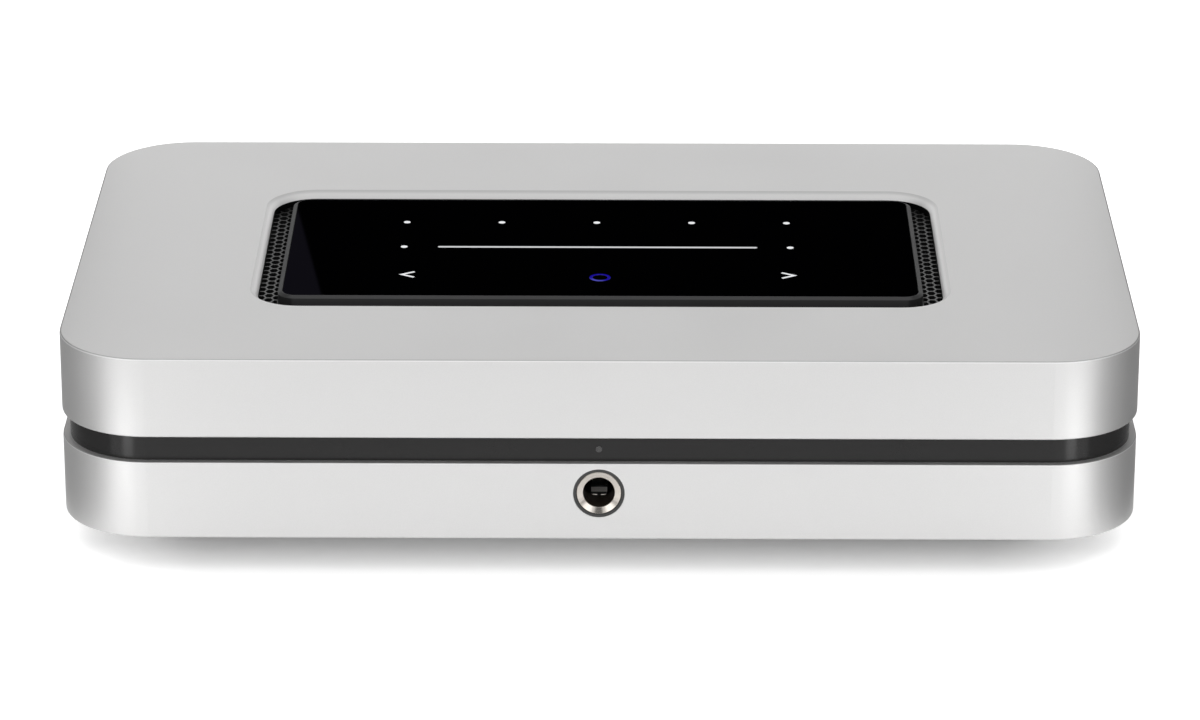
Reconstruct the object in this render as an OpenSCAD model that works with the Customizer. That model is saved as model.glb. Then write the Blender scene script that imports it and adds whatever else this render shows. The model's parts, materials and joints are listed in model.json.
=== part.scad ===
// Network music streamer: two aluminium shells with a dark band between them, a touch panel
// sunk into the top, a headphone socket in front and a connector panel behind.
// Millimetres. X to the right, Y to the back, Z up; the origin lies on the table under the middle.

/* [Case] */
// Width of the case
case_w = 220; // [198:1:260]
// Depth of the case without the sockets behind it
case_d = 137; // [123:1:165]
// Corner radius of the case seen from above
corner_r = 18.5; // [10:0.5:22]
// Height of the upper shell
upper_h = 16.9; // [15:0.1:24]
// Height of the dark band between the shells
band_h = 5.4; // [4.6:0.1:8]
// Height of the lower shell
lower_h = 16.5; // [15.8:0.1:22]
// Height of the lower shell's underside above the table
stand_h = 7.2; // [6:0.1:9]
// Wall of both shells
wall = 2.2; // [1.8:0.1:3]
// Thickness of the upper shell's top plate
top_t = 2; // [1.8:0.1:2.4]
// Thickness of the lower shell's floor
floor_t = 2; // [1.6:0.1:2.6]
// Rounding of the shells' long edges
edge_r = 0.4; // [0.3:0.1:1]
// How far the band lies behind the shells' faces
band_inset = 1.5; // [0.8:0.1:1.6]
// Thickness of the band's locating lip
lip_t = 1.6; // [1.2:0.1:2]
// Height of the band's locating lip inside each shell
lip_h = 2.4; // [1.6:0.1:3]

/* [Base and feet] */
// How far the base plate lies in from the case's sides
plinth_inset = 16; // [15:0.5:18]
// Corner radius of the base plate
plinth_r = 8; // [6:0.5:10]
// Thickness of the base plate's floor and rim
plinth_t = 2; // [1.6:0.1:2.4]
// How far the feet stand below the base plate
foot_show = 2.4; // [1.6:0.1:3.2]
// Radius of a foot
foot_r = 8; // [6:0.5:9]
// Depth of a foot's seat in the base plate
foot_seat = 0.6; // [0.4:0.1:1]
// Distance of a foot's centre from the case's side
foot_in_x = 34; // [32:1:44]
// Distance of a foot's centre from the case's front and back
foot_in_y = 32; // [30:1:42]
// Width of a cooling slot
vent_slot_w = 2.4; // [1.6:0.1:3]
// Length of a cooling slot
vent_slot_l = 22; // [14:1:24]
// Distance between cooling slots
vent_slot_pitch = 6; // [5:0.5:7]
// Number of cooling slots in a row
vent_slots = 17; // [9:2:17]
// Distance between the two rows of slots
vent_row_pitch = 28; // [26:1:30]

/* [Touch panel] */
// Width of the touch panel over its bezel
panel_w = 134; // [120:1:139]
// Depth of the touch panel over its bezel
panel_d = 62; // [54:1:68]
// Corner radius of the bezel
panel_r = 3.8; // [3:0.1:6]
// Width of the bezel's rim beside the glass
rim_w = 0.9; // [0.6:0.1:1.4]
// Width of the ledge that the glass lies on
ledge_w = 1; // [0.6:0.1:1.6]
// Thickness of the glass
glass_t = 1.1; // [0.8:0.1:1.3]
// Thickness of the touch board
touch_board_t = 1; // [0.8:0.1:1]
// How far the panel and its recess lie in front of the case's middle
panel_shift = 0.9; // [0:0.1:3]
// Width of the vent gap at the panel's left and right
side_gap = 4.2; // [3.4:0.1:6]
// Width of the gap in front of the panel and behind it
end_gap = 3.9; // [3:0.1:7]
// Corner radius of the recess
recess_r = 9; // [7:0.5:11]
// How far the recess goes down
recess_depth = 2.8; // [2.6:0.1:3.2]
// How far the recess's wall slopes out towards its upper edge
recess_slope = 1.6; // [0.6:0.1:2.2]
// Width of the turned-down lip round the recess
recess_lip = 3; // [2.6:0.1:3.6]
// Thickness of the deck under the recess
deck_t = 2.8; // [2.4:0.1:3.4]
// Thickness of the vent mesh
mesh_t = 0.8; // [0.6:0.1:1]
// Distance between the mesh's holes, front to back
mesh_pitch_y = 2.55; // [2.4:0.05:3]
// Distance between the mesh's columns
mesh_pitch_x = 1.7; // [1.6:0.05:1.8]
// Bar between two holes of the mesh
mesh_bar = 0.42; // [0.3:0.02:0.6]
// Distance between the five preset dots
icon_pitch = 20.4; // [18:0.2:22]
// Distance of the preset dots behind the panel's middle
icon_back = 15.9; // [12:0.1:20]
// Distance of the arrows in front of the panel's middle
icon_front = 18.4; // [14:0.1:22]
// Distance of the arrows and volume dots from the panel's middle
icon_side = 41; // [38:0.5:50]

/* [Headphone socket] */
// Height of the socket's axis above the lower shell's underside
jack_up = 10.05; // [9.2:0.05:11]
// Radius of the socket's bore, for a 6.35 mm plug
jack_bore_r = 3.2; // [3.18:0.01:3.25]
// Outer radius of the nickel bushing
bushing_r = 4.6; // [4.3:0.05:4.7]
// Wall of the bushing round the socket's nose
bushing_wall = 0.65; // [0.55:0.05:0.7]
// Depth of the bushing's countersink
countersink = 0.6; // [0.4:0.1:1.4]
// Width of the dark trim ring
trim_ring_w = 0.55; // [0.5:0.01:0.9]
// Depth of the trim ring's seat in the shell
trim_seat = 1.2; // [0.8:0.1:1.4]
// Width of the socket's housing
jack_w = 14; // [13:0.5:18]
// Height of the contact space inside the housing
jack_room_h = 11.6; // [11:0.1:12.6]
// Depth of the contact space inside the housing
jack_space_d = 20.6; // [19.5:0.1:26]
// Thickness of the contact springs
leaf_t = 0.3; // [0.2:0.05:0.35]
// Width of the sleeve contact's ramp
leaf_w = 3.3; // [2.6:0.1:3.6]

/* [Rear panel] */
// Distance from the corner's end to the window in the case's back
window_end = 2.5; // [2:0.1:4]
// Height of the window's sill above the case floor
window_sill = 4.6; // [4:0.1:5]
// How far the window reaches up into the upper shell
window_up = 4.5; // [4:0.1:7]
// Corner radius of the window
window_r = 3; // [2:0.5:3.5]
// How far the connector panel laps behind the window's edge
panel_lap = 1.5; // [1:0.1:1.8]
// Thickness of the connector panel
rear_t = 2; // [1.6:0.1:2.2]
// How far the phono sockets stand out behind the case
phono_reach = 9; // [8:0.1:11]
// Outer radius of a phono socket
phono_r = 4.15; // [4.1:0.01:4.2]
// Radius of a phono socket's centre hole
phono_hole_r = 1.6; // [1.55:0.01:1.7]
// Width of the block round a phono socket
phono_w = 12; // [11.4:0.1:13]
// Radius of the bore of a 3.5 mm socket
mini_bore_r = 1.78; // [1.76:0.01:1.85]
// Width of the block of a 3.5 mm socket
mini_w = 8; // [7:0.1:9]
// Width of the opening of the optical socket
optical_w = 8.4; // [8:0.1:9]
// Height of the opening of the optical socket
optical_h = 9.2; // [8.6:0.1:10]
// Thickness of the optical socket's shutter
shutter_t = 0.8; // [0.6:0.1:1]
// Width of the network socket's opening
lan_w = 11.8; // [11.6:0.1:12.6]
// Height of the network socket's opening
lan_h = 7.8; // [6.8:0.1:8.6]
// Radius of a mains inlet pin
inlet_pin_r = 1.2; // [1.15:0.01:1.25]
// Distance of a mains inlet pin from the inlet's middle
inlet_pin_x = 4.3; // [4.2:0.05:4.4]
// Radius of each lobe of the mains inlet's opening
inlet_lobe_r = 3.9; // [3.6:0.1:4]

/* [Inside] */
// Height of the boards above the case floor
standoff_h = 4.8; // [4:0.1:5.6]
// Thickness of the circuit boards
board_t = 1.6; // [1.2:0.1:1.8]
// Gap between the headphone socket and the main board
main_gap = 8.8; // [6:0.1:14]
// Width of the power board
psu_w = 32; // [31:0.5:36]
// Radius of the posts that the case screws pass through
post_r = 3.6; // [3.2:0.1:3.8]
// Radius of a case screw
case_screw_r = 1.5; // [1.4:0.05:1.6]
// Radius of a board screw
board_screw_r = 1.2; // [1.1:0.05:1.3]
// Radius of a board standoff
standoff_r = 2.6; // [2.4:0.1:2.8]
// Radius of a wire in the low-voltage lead
wire_r = 0.8; // [0.6:0.05:1]
// Radius of an antenna lead
coax_r = 0.6; // [0.5:0.05:0.7]

/* [Hidden] */
$fn = 96;

// Clearances
fit_gap = 0.2;      // between pieces that slide together when the case is closed
thread_gap = 0.04;  // round a screw in its tapped hole
hole_gap = 0.2;     // round a screw in a plain hole
spring_gap = 0.3;   // round the contact springs
hinge_gap = 0.08;   // round the shutter's pivots
glass_gap = 0.06;   // round the glass in its bezel
trim_gap = 0.05;    // between the bushing and its trim ring
post_gap = 1.9;     // between a post and the board beside it
cut = 1;            // how far a cutting body runs past the face it cuts

// Levels and places of the case
y_front = -(case_d + phono_reach) / 2;
y_back = y_front + case_d;
y_mid = (y_front + y_back) / 2;
z_low = stand_h;
z_floor = z_low + floor_t;
z_low_top = z_low + lower_h;
z_up = z_low_top + band_h;
z_top = z_up + upper_h;
lower_lip_r = 0.25;
inner_face = wall + fit_gap + lip_t;

// Base plate and case screws
z_plinth = foot_show;
plinth_w = case_w - 2 * plinth_inset;
plinth_d = case_d - 2 * plinth_inset;
screw_tube_r = 4.6;
screw_head_r = 2.8;
screw_head_h = 2;
screw_head_sink = 0.8;
screw_bite = 9;
boss_in = plinth_inset + screw_tube_r + post_gap;
boss_x = case_w / 2 - boss_in;
boss_y = case_d / 2 - boss_in;
foot_edge_r = 0.8;

// Touch panel and deck
recess_w = panel_w + 2 * side_gap;
recess_d = panel_d + 2 * end_gap;
panel_y = y_mid - panel_shift;
z_deck = z_top - recess_depth;
z_ledge = z_top - glass_t;
guide_t = recess_depth - glass_t - touch_board_t;
lean_edge = 25;
lean_foot = 62;
rim_r = recess_slope / (sin(lean_foot) - sin(lean_edge));
rim_x = rim_r * sin(lean_foot);
rim_z = z_top - rim_r * cos(lean_edge);
bezel_fall = 0.45;
bezel_flat = 0.1;
glass_w = panel_w - 2 * (rim_w + glass_gap);
glass_d = panel_d - 2 * (rim_w + glass_gap);
well_w = panel_w - 2 * (rim_w + ledge_w + fit_gap);
well_d = panel_d - 2 * (rim_w + ledge_w + fit_gap);
well_r = panel_r - rim_w - ledge_w;
deck_screw_in = 3;
deck_screw_end = 6;
deck_bite = 2;
deck_lap = recess_lip + 2 * deck_screw_in;
deck_over = 0.5;
deck_w = recess_w + 2 * deck_lap;
deck_d = recess_d + 2 * (recess_lip + deck_over);
deck_screw_x = recess_w / 2 + recess_lip + deck_screw_in;
deck_screw_y = recess_d / 2 - deck_screw_end;
mesh_gap = 0.3;
mesh_lap = 1.5;
mesh_over = 1.6;
mesh_ledge = 0.8;
mesh_in = panel_w / 2 + mesh_gap;
mesh_out = recess_w / 2 + mesh_lap;
mesh_mid = (panel_w + side_gap) / 2;
mesh_d = recess_d + 2 * mesh_over;
mesh_cols = floor(side_gap / 2 / mesh_pitch_x);
mesh_rows = floor((mesh_d / 2 - mesh_ledge) / mesh_pitch_y) - 1;
led_w = 1.6;
led_gap = 0.3;
led_sink = 0.15;
led_h = guide_t - led_sink;
line_leds = 12;
line_half = 34;

// Headphone socket, whose housing hangs under the front board
jack_z = z_low + jack_up;
jack_seat = 0.4;
jack_wall = 2;
jack_back_t = 1.5;
jack_floor_t = 1.1;
jack_side_t = 2;
jack_depth = inner_face + jack_seat;
jack_space = jack_depth + jack_wall;
jack_back = jack_space + jack_space_d + jack_back_t;
jack_low = -jack_room_h / 2 - jack_floor_t;
nose_r = bushing_r - bushing_wall - thread_gap;
bushing_edge = 0.2;
bushing_gap = 0.15;
jack_hole_r = bushing_r + bushing_gap;
trim_r = bushing_r + trim_gap + trim_ring_w;
trim_back = 0.1;

// Front board, at the height of the light in the band
lens_r = 0.65;
lens_drop = 0.15;
lens_out = 1;
led_side = 1.4;
lens_z = (z_low_top + z_up) / 2 - lens_drop;
lens_depth = inner_face + lens_out;
screw_in = 4;
front_board_t = 1.4;
front_board_w = 44;
front_over = 0.5;
front_top = lens_z - led_side / 2;
front_z = front_top - front_board_t;
front_y0 = y_front + jack_depth + fit_gap;
front_y1 = y_front + jack_back + front_over;
front_post_x = 18;
front_screws = [for (s = [-1, 1]) [s * front_post_x, front_y1 - screw_in]];
ir_x = 12;
ir_in = 2;
ir_size = [5, 3, 5];
ir_dome_r = 1.6;

// Rear panel
window_w = case_w - 2 * (corner_r + window_end);
window_z0 = z_floor + window_sill;
window_z1 = z_up + window_up;
window_h = window_z1 - window_z0;
window_z = (window_z0 + window_z1) / 2;
y_panel = y_back - wall;
y_socket = y_panel - rear_t;
rear_w = window_w + 2 * panel_lap;
rear_h = window_h + 2 * panel_lap;

// Boards
board_z = z_floor + standoff_h;
board_top = board_z + board_t;
board_back_gap = 1.5;
board_split = 4;
psu_side = 5;
psu_x0 = inner_face + psu_side - case_w / 2;
psu_x1 = psu_x0 + psu_w;
psu_x = (psu_x0 + psu_x1) / 2;
psu_y0 = y_mid - boss_y + post_r + post_gap;
psu_y1 = y_mid + boss_y - post_r - post_gap;
main_x0 = psu_x1 + board_split;
main_x1 = boss_x - post_r - post_gap;
main_y0 = y_front + jack_back + main_gap;
main_y1 = y_socket - board_back_gap;
ear_y0 = y_mid + boss_y + post_r + post_gap;
main_screw_back = 20;
main_screws = [for (x = [main_x0 + screw_in, main_x1 - screw_in])
  for (y = [main_y0 + screw_in, main_y1 - main_screw_back]) [x, y]];
psu_screws = [for (x = [psu_x0 + screw_in, psu_x1 - screw_in])
  for (y = [psu_y0 + screw_in, psu_y1 - screw_in]) [x, y]];
board_head_r = 2.2;
board_head_h = 1.4;
board_screw_l = 5;
deck_screw_l = deck_t + deck_bite;

// Sizes of the rear sockets: [width, depth, height] for a block
phonos = 4;
phono_block = [phono_w, 12, 15.4];
phono_up = 8.4;
phono_z = board_top + phono_up;
phono_end = y_back + phono_reach;
phono_wall = 0.85;
root_step = 0.4;
phono_root_r = phono_r - root_step;
collar_w = 1.45;
collar_r = phono_r + collar_w;
collar_t = 1.2;
contact_wall = 0.45;
contact_floor = 1;
contact_back = 1;
insulator_back = 0.5;
minis = 3;
mini_block = [mini_w, 12, 6.4];
mini_up = 3.4;
mini_z = board_top + mini_up;
mini_nose_r = 3;
mini_proud = 0.4;
mini_depth = 9;
optical_wall = 0.8;
optical_back_t = 3.5;
optical_base = 1;
optical_proud = 1.2;
flap_room = 1.3;
optical_depth = optical_h + flap_room;
optical_block = [optical_w + 2 * optical_wall, optical_depth + optical_back_t,
                 optical_base + optical_h + optical_wall];
optical_z0 = board_top + optical_base;
shutter_back = 1.2;
pivot_r = 0.45;
pivot_in = 0.6;
pivot_down = 0.9;
knuckle_t = 0.1;
pivot_z = optical_z0 + optical_h - pivot_down;
pivot_y = y_socket + optical_proud - shutter_back;
port_proud = 1.6;
port_face = y_socket + port_proud;
port_wall = 0.5;
hdmi_size = [15, 11.5, 6];
hdmi_chamfer = 1.6;
hdmi_tongue = [10.6, 8, 1];
usb_size = [13.4, 14, 6.4];
usb_chamfer = 0.6;
usb_tongue = [11, 10, 1.8];
usb_tongue_down = 2.6;
lan_depth = 12;
lan_base = 2;
lan_side_t = 2.1;
lan_back_t = 3;
lan_roof_t = 2;
latch_w = 6;
latch_h = 1.6;
lan_size = [lan_w + 2 * lan_side_t, lan_depth + lan_back_t, lan_base + latch_h + lan_h + lan_roof_t];
lan_pins = 8;
lan_pin_pitch = 1.02;
lan_pin_w = 0.5;
lan_pin_l = 8;
lan_pin_flat = 1;
lan_pin_drop = 2;
lan_pin_top = 0.1;
inlet_nose_wall = 1.2;
inlet_proud = 1.4;
inlet_depth = 11;
inlet_back_t = 4.6;
inlet_flange = 2.6;
inlet_rim = 1.9;
inlet_waist = 5.4;
inlet_pin_l = 9.5;
inlet_drop = 0.5;
inlet_nose_r = inlet_lobe_r + inlet_nose_wall;
inlet_size = [2 * (inlet_pin_x + inlet_nose_r + inlet_flange),
              inlet_depth + inlet_back_t - inlet_proud - rear_t, 2 * (inlet_nose_r + inlet_rim)];
inlet_face = y_panel + inlet_proud;
inlet_z = window_z - inlet_drop;
tail_back = 9;
tab_w = 1.2;

// Places of the rear sockets: the inlet by the power board, the rest spread evenly up to the window's end
inlet_side = 8;
inlet_x = max(psu_x + inlet_side, (inlet_size[0] - window_w) / 2);
row_x0 = max(main_x0, inlet_x + inlet_size[0] / 2);
row_x1 = window_w / 2;
row_w = lan_size[0] + usb_size[0] + hdmi_size[0] + minis * mini_w + optical_block[0] + phonos * phono_w;
row_gap = (row_x1 - row_x0 - row_w) / (4 + minis + phonos);
phono_pitch = phono_w + row_gap;
mini_pitch = mini_w + row_gap;
lan_x = row_x0 + (row_gap + lan_size[0]) / 2;
usb_x = lan_x + (lan_size[0] + usb_size[0]) / 2 + row_gap;
hdmi_x = usb_x + (usb_size[0] + hdmi_size[0]) / 2 + row_gap;
mini_x0 = hdmi_x + (hdmi_size[0] + mini_w) / 2 + row_gap;
mini_x = [for (i = [0:minis - 1]) mini_x0 + i * mini_pitch];
optical_x = mini_x[minis - 1] + (mini_w + optical_block[0]) / 2 + row_gap;
phono_x0 = optical_x + (optical_block[0] + phono_w) / 2 + row_gap;
phono_x = [for (i = [0:phonos - 1]) phono_x0 + i * phono_pitch];
rear_head_r = 1.9;
rear_head_h = 1.2;
rear_screw_l = 8;
inlet_screw_out = 5.7;
inlet_screw_up = 0.9;
inlet_screw_x = inlet_pin_x + inlet_screw_out;
inlet_screw_z = inlet_lobe_r + inlet_screw_up;
phono_screw_up = 5.2;
phono_screw_z = phono_z + phono_screw_up;
rear_screws = [
  [(phono_x[0] + phono_x[1]) / 2, phono_screw_z], [(phono_x[2] + phono_x[3]) / 2, phono_screw_z],
  [inlet_x - inlet_screw_x, inlet_z + inlet_screw_z], [inlet_x + inlet_screw_x, inlet_z - inlet_screw_z]
];

// Parts on the power board: output capacitors and transformer from its front, the rest from its back
part_gap = 2;
out_r = 4;
out_h = 16;
out_in = 7;
out_pitch = 10;
out_off = 0.5;
out_x = psu_x - out_off;
out_y = psu_y0 + out_in;
core_w = 22;
core_d = 22;
core_h = 20;
core_leg = 3;
core_in = 1;
core_gap = 5;
coil_r = 7.5;
coil_h = 12;
core_x = psu_x0 + core_w / 2 + core_in;
core_y = out_y + out_r + core_gap + core_d / 2;
fuse_r = 2;
fuse_l = 10;
fuse_in = 3;
fuse_side = 12;
fuse_x = psu_x0 + fuse_side;
fuse_y = psu_y1 - fuse_r - fuse_in;
bulk_r = 8;
bulk_h = 22;
bulk_in = 1.5;
bulk_x = psu_x0 + bulk_r + bulk_in;
bulk_y = fuse_y - fuse_r - part_gap - bulk_r;
choke_w = 12;
choke_d = 16;
choke_base = 2;
choke_r = 7;
choke_hole_r = 3;
choke_wind = 8;
choke_sink = 0.5;
choke_in = 1;
choke_x = psu_x1 - choke_w / 2 - choke_in;
choke_y = psu_y1 - tail_back - part_gap - choke_d / 2;

// Leads and ribbons
ribbon_t = 0.3;
touch_ribbon_w = 16;
touch_ribbon_in = 10;
touch_ribbon_y = main_y0 + touch_ribbon_in;
front_ribbon_w = 12;
front_ribbon_x = 5;
front_ribbon_in = 4.5;
front_ribbon_y = main_y0 + front_ribbon_in;
front_plug_y = front_y1 - screw_in;
plug_side = 1;
plug_d = 4;
plug_h = 2.2;
dc_plug = [6, 10, 6];
dc_in = 7;
dc_psu_in = 4;
dc_main_in = 12;
dc_y = main_y0 + dc_in;
dc_psu_x = psu_x1 - dc_psu_in;
dc_main_x = main_x0 + dc_main_in;
dc_rise = 3;
wire_pitch = 2.6;
wires = 3;
lead_gap = 2.5;
lead_drop = 6;
lead_y = core_y + core_d / 2 + lead_gap;
lead_z = (z_low_top + z_up) / 2;
antenna_l = 34;
antenna_t = 0.8;
antenna_edge = 0.3;
antenna_h = band_h - 2 * antenna_edge;
antenna_x = case_w / 2 - inner_face;

// Parts on the main board, from its edges and from the processor: sizes are [width, depth, height]
chip_in = 53;
chip_back = 30;
chip_w = 22;
chip_h = 1.8;
chip_x = main_x0 + chip_in;
chip_y = main_y1 - chip_back;
sink_w = 34;
sink_base = 2.5;
sink_fins = 9;
sink_fin_t = 1.2;
sink_h = 11;
wifi_in = 42;
wifi_x = main_x1 - wifi_in;
wifi_w = 26;
wifi_d = 18;
wifi_h = 3;
wifi_r = 1;
memory_size = [14, 11, 1.2];
memory_off = 30;
memory_pitch = 14;
memory_up = 1;
switch_size = [16, 16, 1.6];
switch_in = 23;
switch_up = 2;
converter_size = [10, 10, 1.4];
converter_in = 28;
converter_up = 4;
amp_size = [8, 6, 1.6];
amp_in = 14;
amp_down = 4;
regulator_size = [9, 9, 1.4];
regulator_in = 25;
regulator_y = 22;
clock_size = [7, 7, 1.2];
clock_in = 16;
clock_y = 30;
chips = [
  [chip_x + memory_off, chip_y + memory_up - memory_pitch / 2, memory_size],
  [chip_x + memory_off, chip_y + memory_up + memory_pitch / 2, memory_size],
  [main_x0 + switch_in, chip_y + switch_up, switch_size],
  [main_x1 - converter_in, chip_y + converter_up, converter_size],
  [main_x1 - amp_in, chip_y - amp_down, amp_size],
  [main_x0 + regulator_in, main_y0 + regulator_y, regulator_size],
  [main_x1 - clock_in, main_y0 + clock_y, clock_size]
];
// Electrolytic capacitors in pairs: [x and y of the first, pitch, radius, height]
mid_cap_r = 4;
mid_cap_h = 11;
mid_cap_in = 17;
mid_cap_y = 36.5;
mid_cap_pitch = 10;
large_cap_r = 5;
large_cap_h = 12.5;
large_cap_in = 22;
large_cap_y = 15;
large_cap_pitch = 12;
small_cap_r = 3.15;
small_cap_h = 8;
small_cap_in = 18;
small_cap_up = 12;
small_cap_pitch = 8;
main_caps = [
  [main_x0 + mid_cap_in, main_y0 + mid_cap_y, mid_cap_pitch, mid_cap_r, mid_cap_h],
  [main_x1 - large_cap_in, main_y0 + large_cap_y, large_cap_pitch, large_cap_r, large_cap_h],
  [main_x1 - small_cap_in, chip_y + small_cap_up, small_cap_pitch, small_cap_r, small_cap_h]
];

// Flat outlines

module quarter(r) {
  intersection() {
    circle(r);
    square(r);
  }
}

module rounded_rect(w, d, r) {
  square([w, d - 2 * r], center = true);
  square([w - 2 * r, d], center = true);
  for (i = [0:3]) {
    sx = (i == 0 || i == 3) ? 1 : -1;
    sy = (i < 2) ? 1 : -1;
    translate([sx * (w / 2 - r), sy * (d / 2 - r)]) rotate(90 * i) quarter(r);
  }
}

// A wall seen end on: its outer face on x = 0, rounded at its outer upper and lower edges
module wall_profile(z0, z1, r0, r1) {
  translate([-wall, z0 + r0]) square([wall, z1 - z0 - r0 - r1]);
  translate([-wall, z1 - r1]) square([wall - r1, r1]);
  translate([-r1, z1 - r1]) quarter(r1);
  translate([-wall, z0]) square([wall - r0, r0]);
  translate([-r0, z0 + r0]) rotate(-90) quarter(r0);
}

// A figure-of-eight outline of two lobes
module two_lobes(r, waist) {
  for (s = [-1, 1]) translate([s * inlet_pin_x, 0]) circle(r);
  square([2 * inlet_pin_x, waist], center = true);
}

// A bent strip through points, with its thickness downwards
module strip(points, t) {
  last = len(points) - 1;
  polygon(concat(points, [for (i = [0:last]) points[last - i] - [0, t]]));
}

// Solid helpers

// Carries a profile round a rounded rectangle; x runs outwards from its edge and y is the height
module sweep_around(w, d, r) {
  for (i = [0:3]) {
    sx = (i == 0 || i == 3) ? 1 : -1;
    sy = (i < 2) ? 1 : -1;
    translate([sx * (w / 2 - r), sy * (d / 2 - r), 0])
      rotate(90 * i) rotate_extrude(angle = 90) translate([r, 0]) children();
  }
  for (a = [0, 180]) {
    rotate(a) translate([w / 2, 0, 0])
      rotate([90, 0, 0]) linear_extrude(d - 2 * r, center = true) children();
    rotate(a) translate([0, d / 2, 0])
      rotate([90, 0, 90]) linear_extrude(w - 2 * r, center = true) children();
  }
}

module block(size) {
  translate([-size[0] / 2, -size[1] / 2, 0]) cube(size);
}

module tube(r, hole, h) {
  difference() {
    cylinder(r = r, h = h);
    translate([0, 0, -cut]) cylinder(r = hole, h = h + 2 * cut);
  }
}

// A round bar from y0 to y1
module rod_y(r, y0, y1) {
  translate([0, y0, 0]) rotate([-90, 0, 0]) cylinder(r = r, h = y1 - y0);
}

// An outline in x and z, from y0 to y1
module plate_y(y0, y1) {
  translate([0, y1, 0]) rotate([90, 0, 0]) linear_extrude(y1 - y0) children();
}

// An outline in y and z, from x0 to x1
module plate_x(x0, x1) {
  translate([x0, 0, 0]) rotate([90, 0, 90]) linear_extrude(x1 - x0) children();
}

// A half profile, radius and distance, turned about a line along y
module turned_y() {
  rotate([-90, 0, 0]) rotate_extrude() children();
}

module at_bosses() {
  for (sx = [-1, 1]) for (sy = [-1, 1])
    translate([sx * boss_x, y_mid + sy * boss_y, 0]) children();
}

module at_feet() {
  for (sx = [-1, 1]) for (sy = [-1, 1])
    translate([sx * (case_w / 2 - foot_in_x), y_mid + sy * (case_d / 2 - foot_in_y), 0]) children();
}

module at_deck_screws() {
  for (sx = [-1, 1]) for (sy = [-1, 1])
    translate([sx * deck_screw_x, panel_y + sy * deck_screw_y, 0]) children();
}

module at_spots(spots) {
  for (p = spots) translate([p[0], p[1], 0]) children();
}

module rear_window() {
  translate([0, 0, window_z])
    plate_y(y_panel - cut, y_back + cut) rounded_rect(window_w, window_h, window_r);
}

module vent_slots_outline() {
  for (row = [-1, 1]) for (i = [0:vent_slots - 1])
    translate([(i - (vent_slots - 1) / 2) * vent_slot_pitch, y_mid + row * vent_row_pitch / 2])
      square([vent_slot_w, vent_slot_l], center = true);
}

// Case

// Section of the lip round the recess: its wall leans out and is rounded over
module recess_rim() difference() {
  translate([0, z_deck]) square([recess_lip, recess_depth]);
  difference() {
    translate([rim_x - rim_r - cut, rim_z]) square(rim_r + cut);
    translate([rim_x, rim_z]) circle(rim_r);
  }
}

module top_shell() color("#c9c7c5") difference() {
  union() {
    translate([0, y_mid, 0]) sweep_around(case_w, case_d, corner_r)
      wall_profile(z_up, z_top, edge_r, edge_r);
    plate_in = (edge_r + wall) / 2;
    lip_in = (recess_slope + recess_lip) / 2;
    translate([0, 0, z_top - top_t]) linear_extrude(top_t) difference() {
      translate([0, y_mid])
        rounded_rect(case_w - 2 * plate_in, case_d - 2 * plate_in, corner_r - plate_in);
      translate([0, panel_y])
        rounded_rect(recess_w + 2 * lip_in, recess_d + 2 * lip_in, recess_r + lip_in);
    }
    translate([0, panel_y, 0]) sweep_around(recess_w, recess_d, recess_r) recess_rim();
    at_bosses() translate([0, 0, z_up]) cylinder(r = post_r, h = z_top - top_t - z_up);
    at_deck_screws() translate([0, 0, z_deck]) cylinder(r = standoff_r, h = z_top - top_t - z_deck);
  }
  rear_window();
  at_bosses() translate([0, 0, z_up - cut])
    cylinder(r = case_screw_r + thread_gap, h = screw_bite + 2 * cut);
  at_deck_screws() translate([0, 0, z_deck - cut])
    cylinder(r = board_screw_r + thread_gap, h = deck_screw_l - deck_t + cut);
}

module bottom_shell() color("#c9c7c5") difference() {
  union() {
    translate([0, y_mid, 0]) sweep_around(case_w, case_d, corner_r)
      wall_profile(z_low, z_low_top, edge_r, lower_lip_r);
    plate_in = (edge_r + wall) / 2;
    translate([0, 0, z_low]) linear_extrude(floor_t) difference() {
      translate([0, y_mid])
        rounded_rect(case_w - 2 * plate_in, case_d - 2 * plate_in, corner_r - plate_in);
      vent_slots_outline();
    }
    at_bosses() translate([0, 0, z_floor]) cylinder(r = post_r, h = z_up - z_floor);
    translate([0, 0, z_floor]) {
      at_spots(main_screws) tube(standoff_r, board_screw_r + thread_gap, standoff_h);
      at_spots(psu_screws) tube(standoff_r, board_screw_r + thread_gap, standoff_h);
      at_spots(front_screws)
        tube(standoff_r, board_screw_r + thread_gap, front_z - z_floor);
    }
  }
  rear_window();
  at_bosses() translate([0, 0, z_low - cut])
    cylinder(r = case_screw_r + hole_gap, h = z_up - z_low + 2 * cut);
  translate([0, y_front, jack_z]) {
    rod_y(jack_hole_r, -cut, wall + cut);
    rod_y(trim_r + thread_gap, -cut, trim_seat);
  }
}

module waist_band() color("#3a3939") difference() {
  translate([0, y_mid, 0]) sweep_around(case_w, case_d, corner_r) {
    translate([-inner_face, z_low_top]) square([inner_face - band_inset, band_h]);
    translate([-inner_face, z_low_top - lip_h]) square([lip_t, band_h + 2 * lip_h]);
  }
  translate([-rear_w / 2 - fit_gap, y_back - inner_face - cut, z_low])
    cube([rear_w + 2 * fit_gap, inner_face + 2 * cut, z_top - z_low]);
  translate([0, y_front, lens_z]) rod_y(lens_r + thread_gap, -cut, inner_face + cut);
  translate([0, y_front, jack_z]) rod_y(bushing_r + 2 * fit_gap, 0, inner_face + cut);
}

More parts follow.
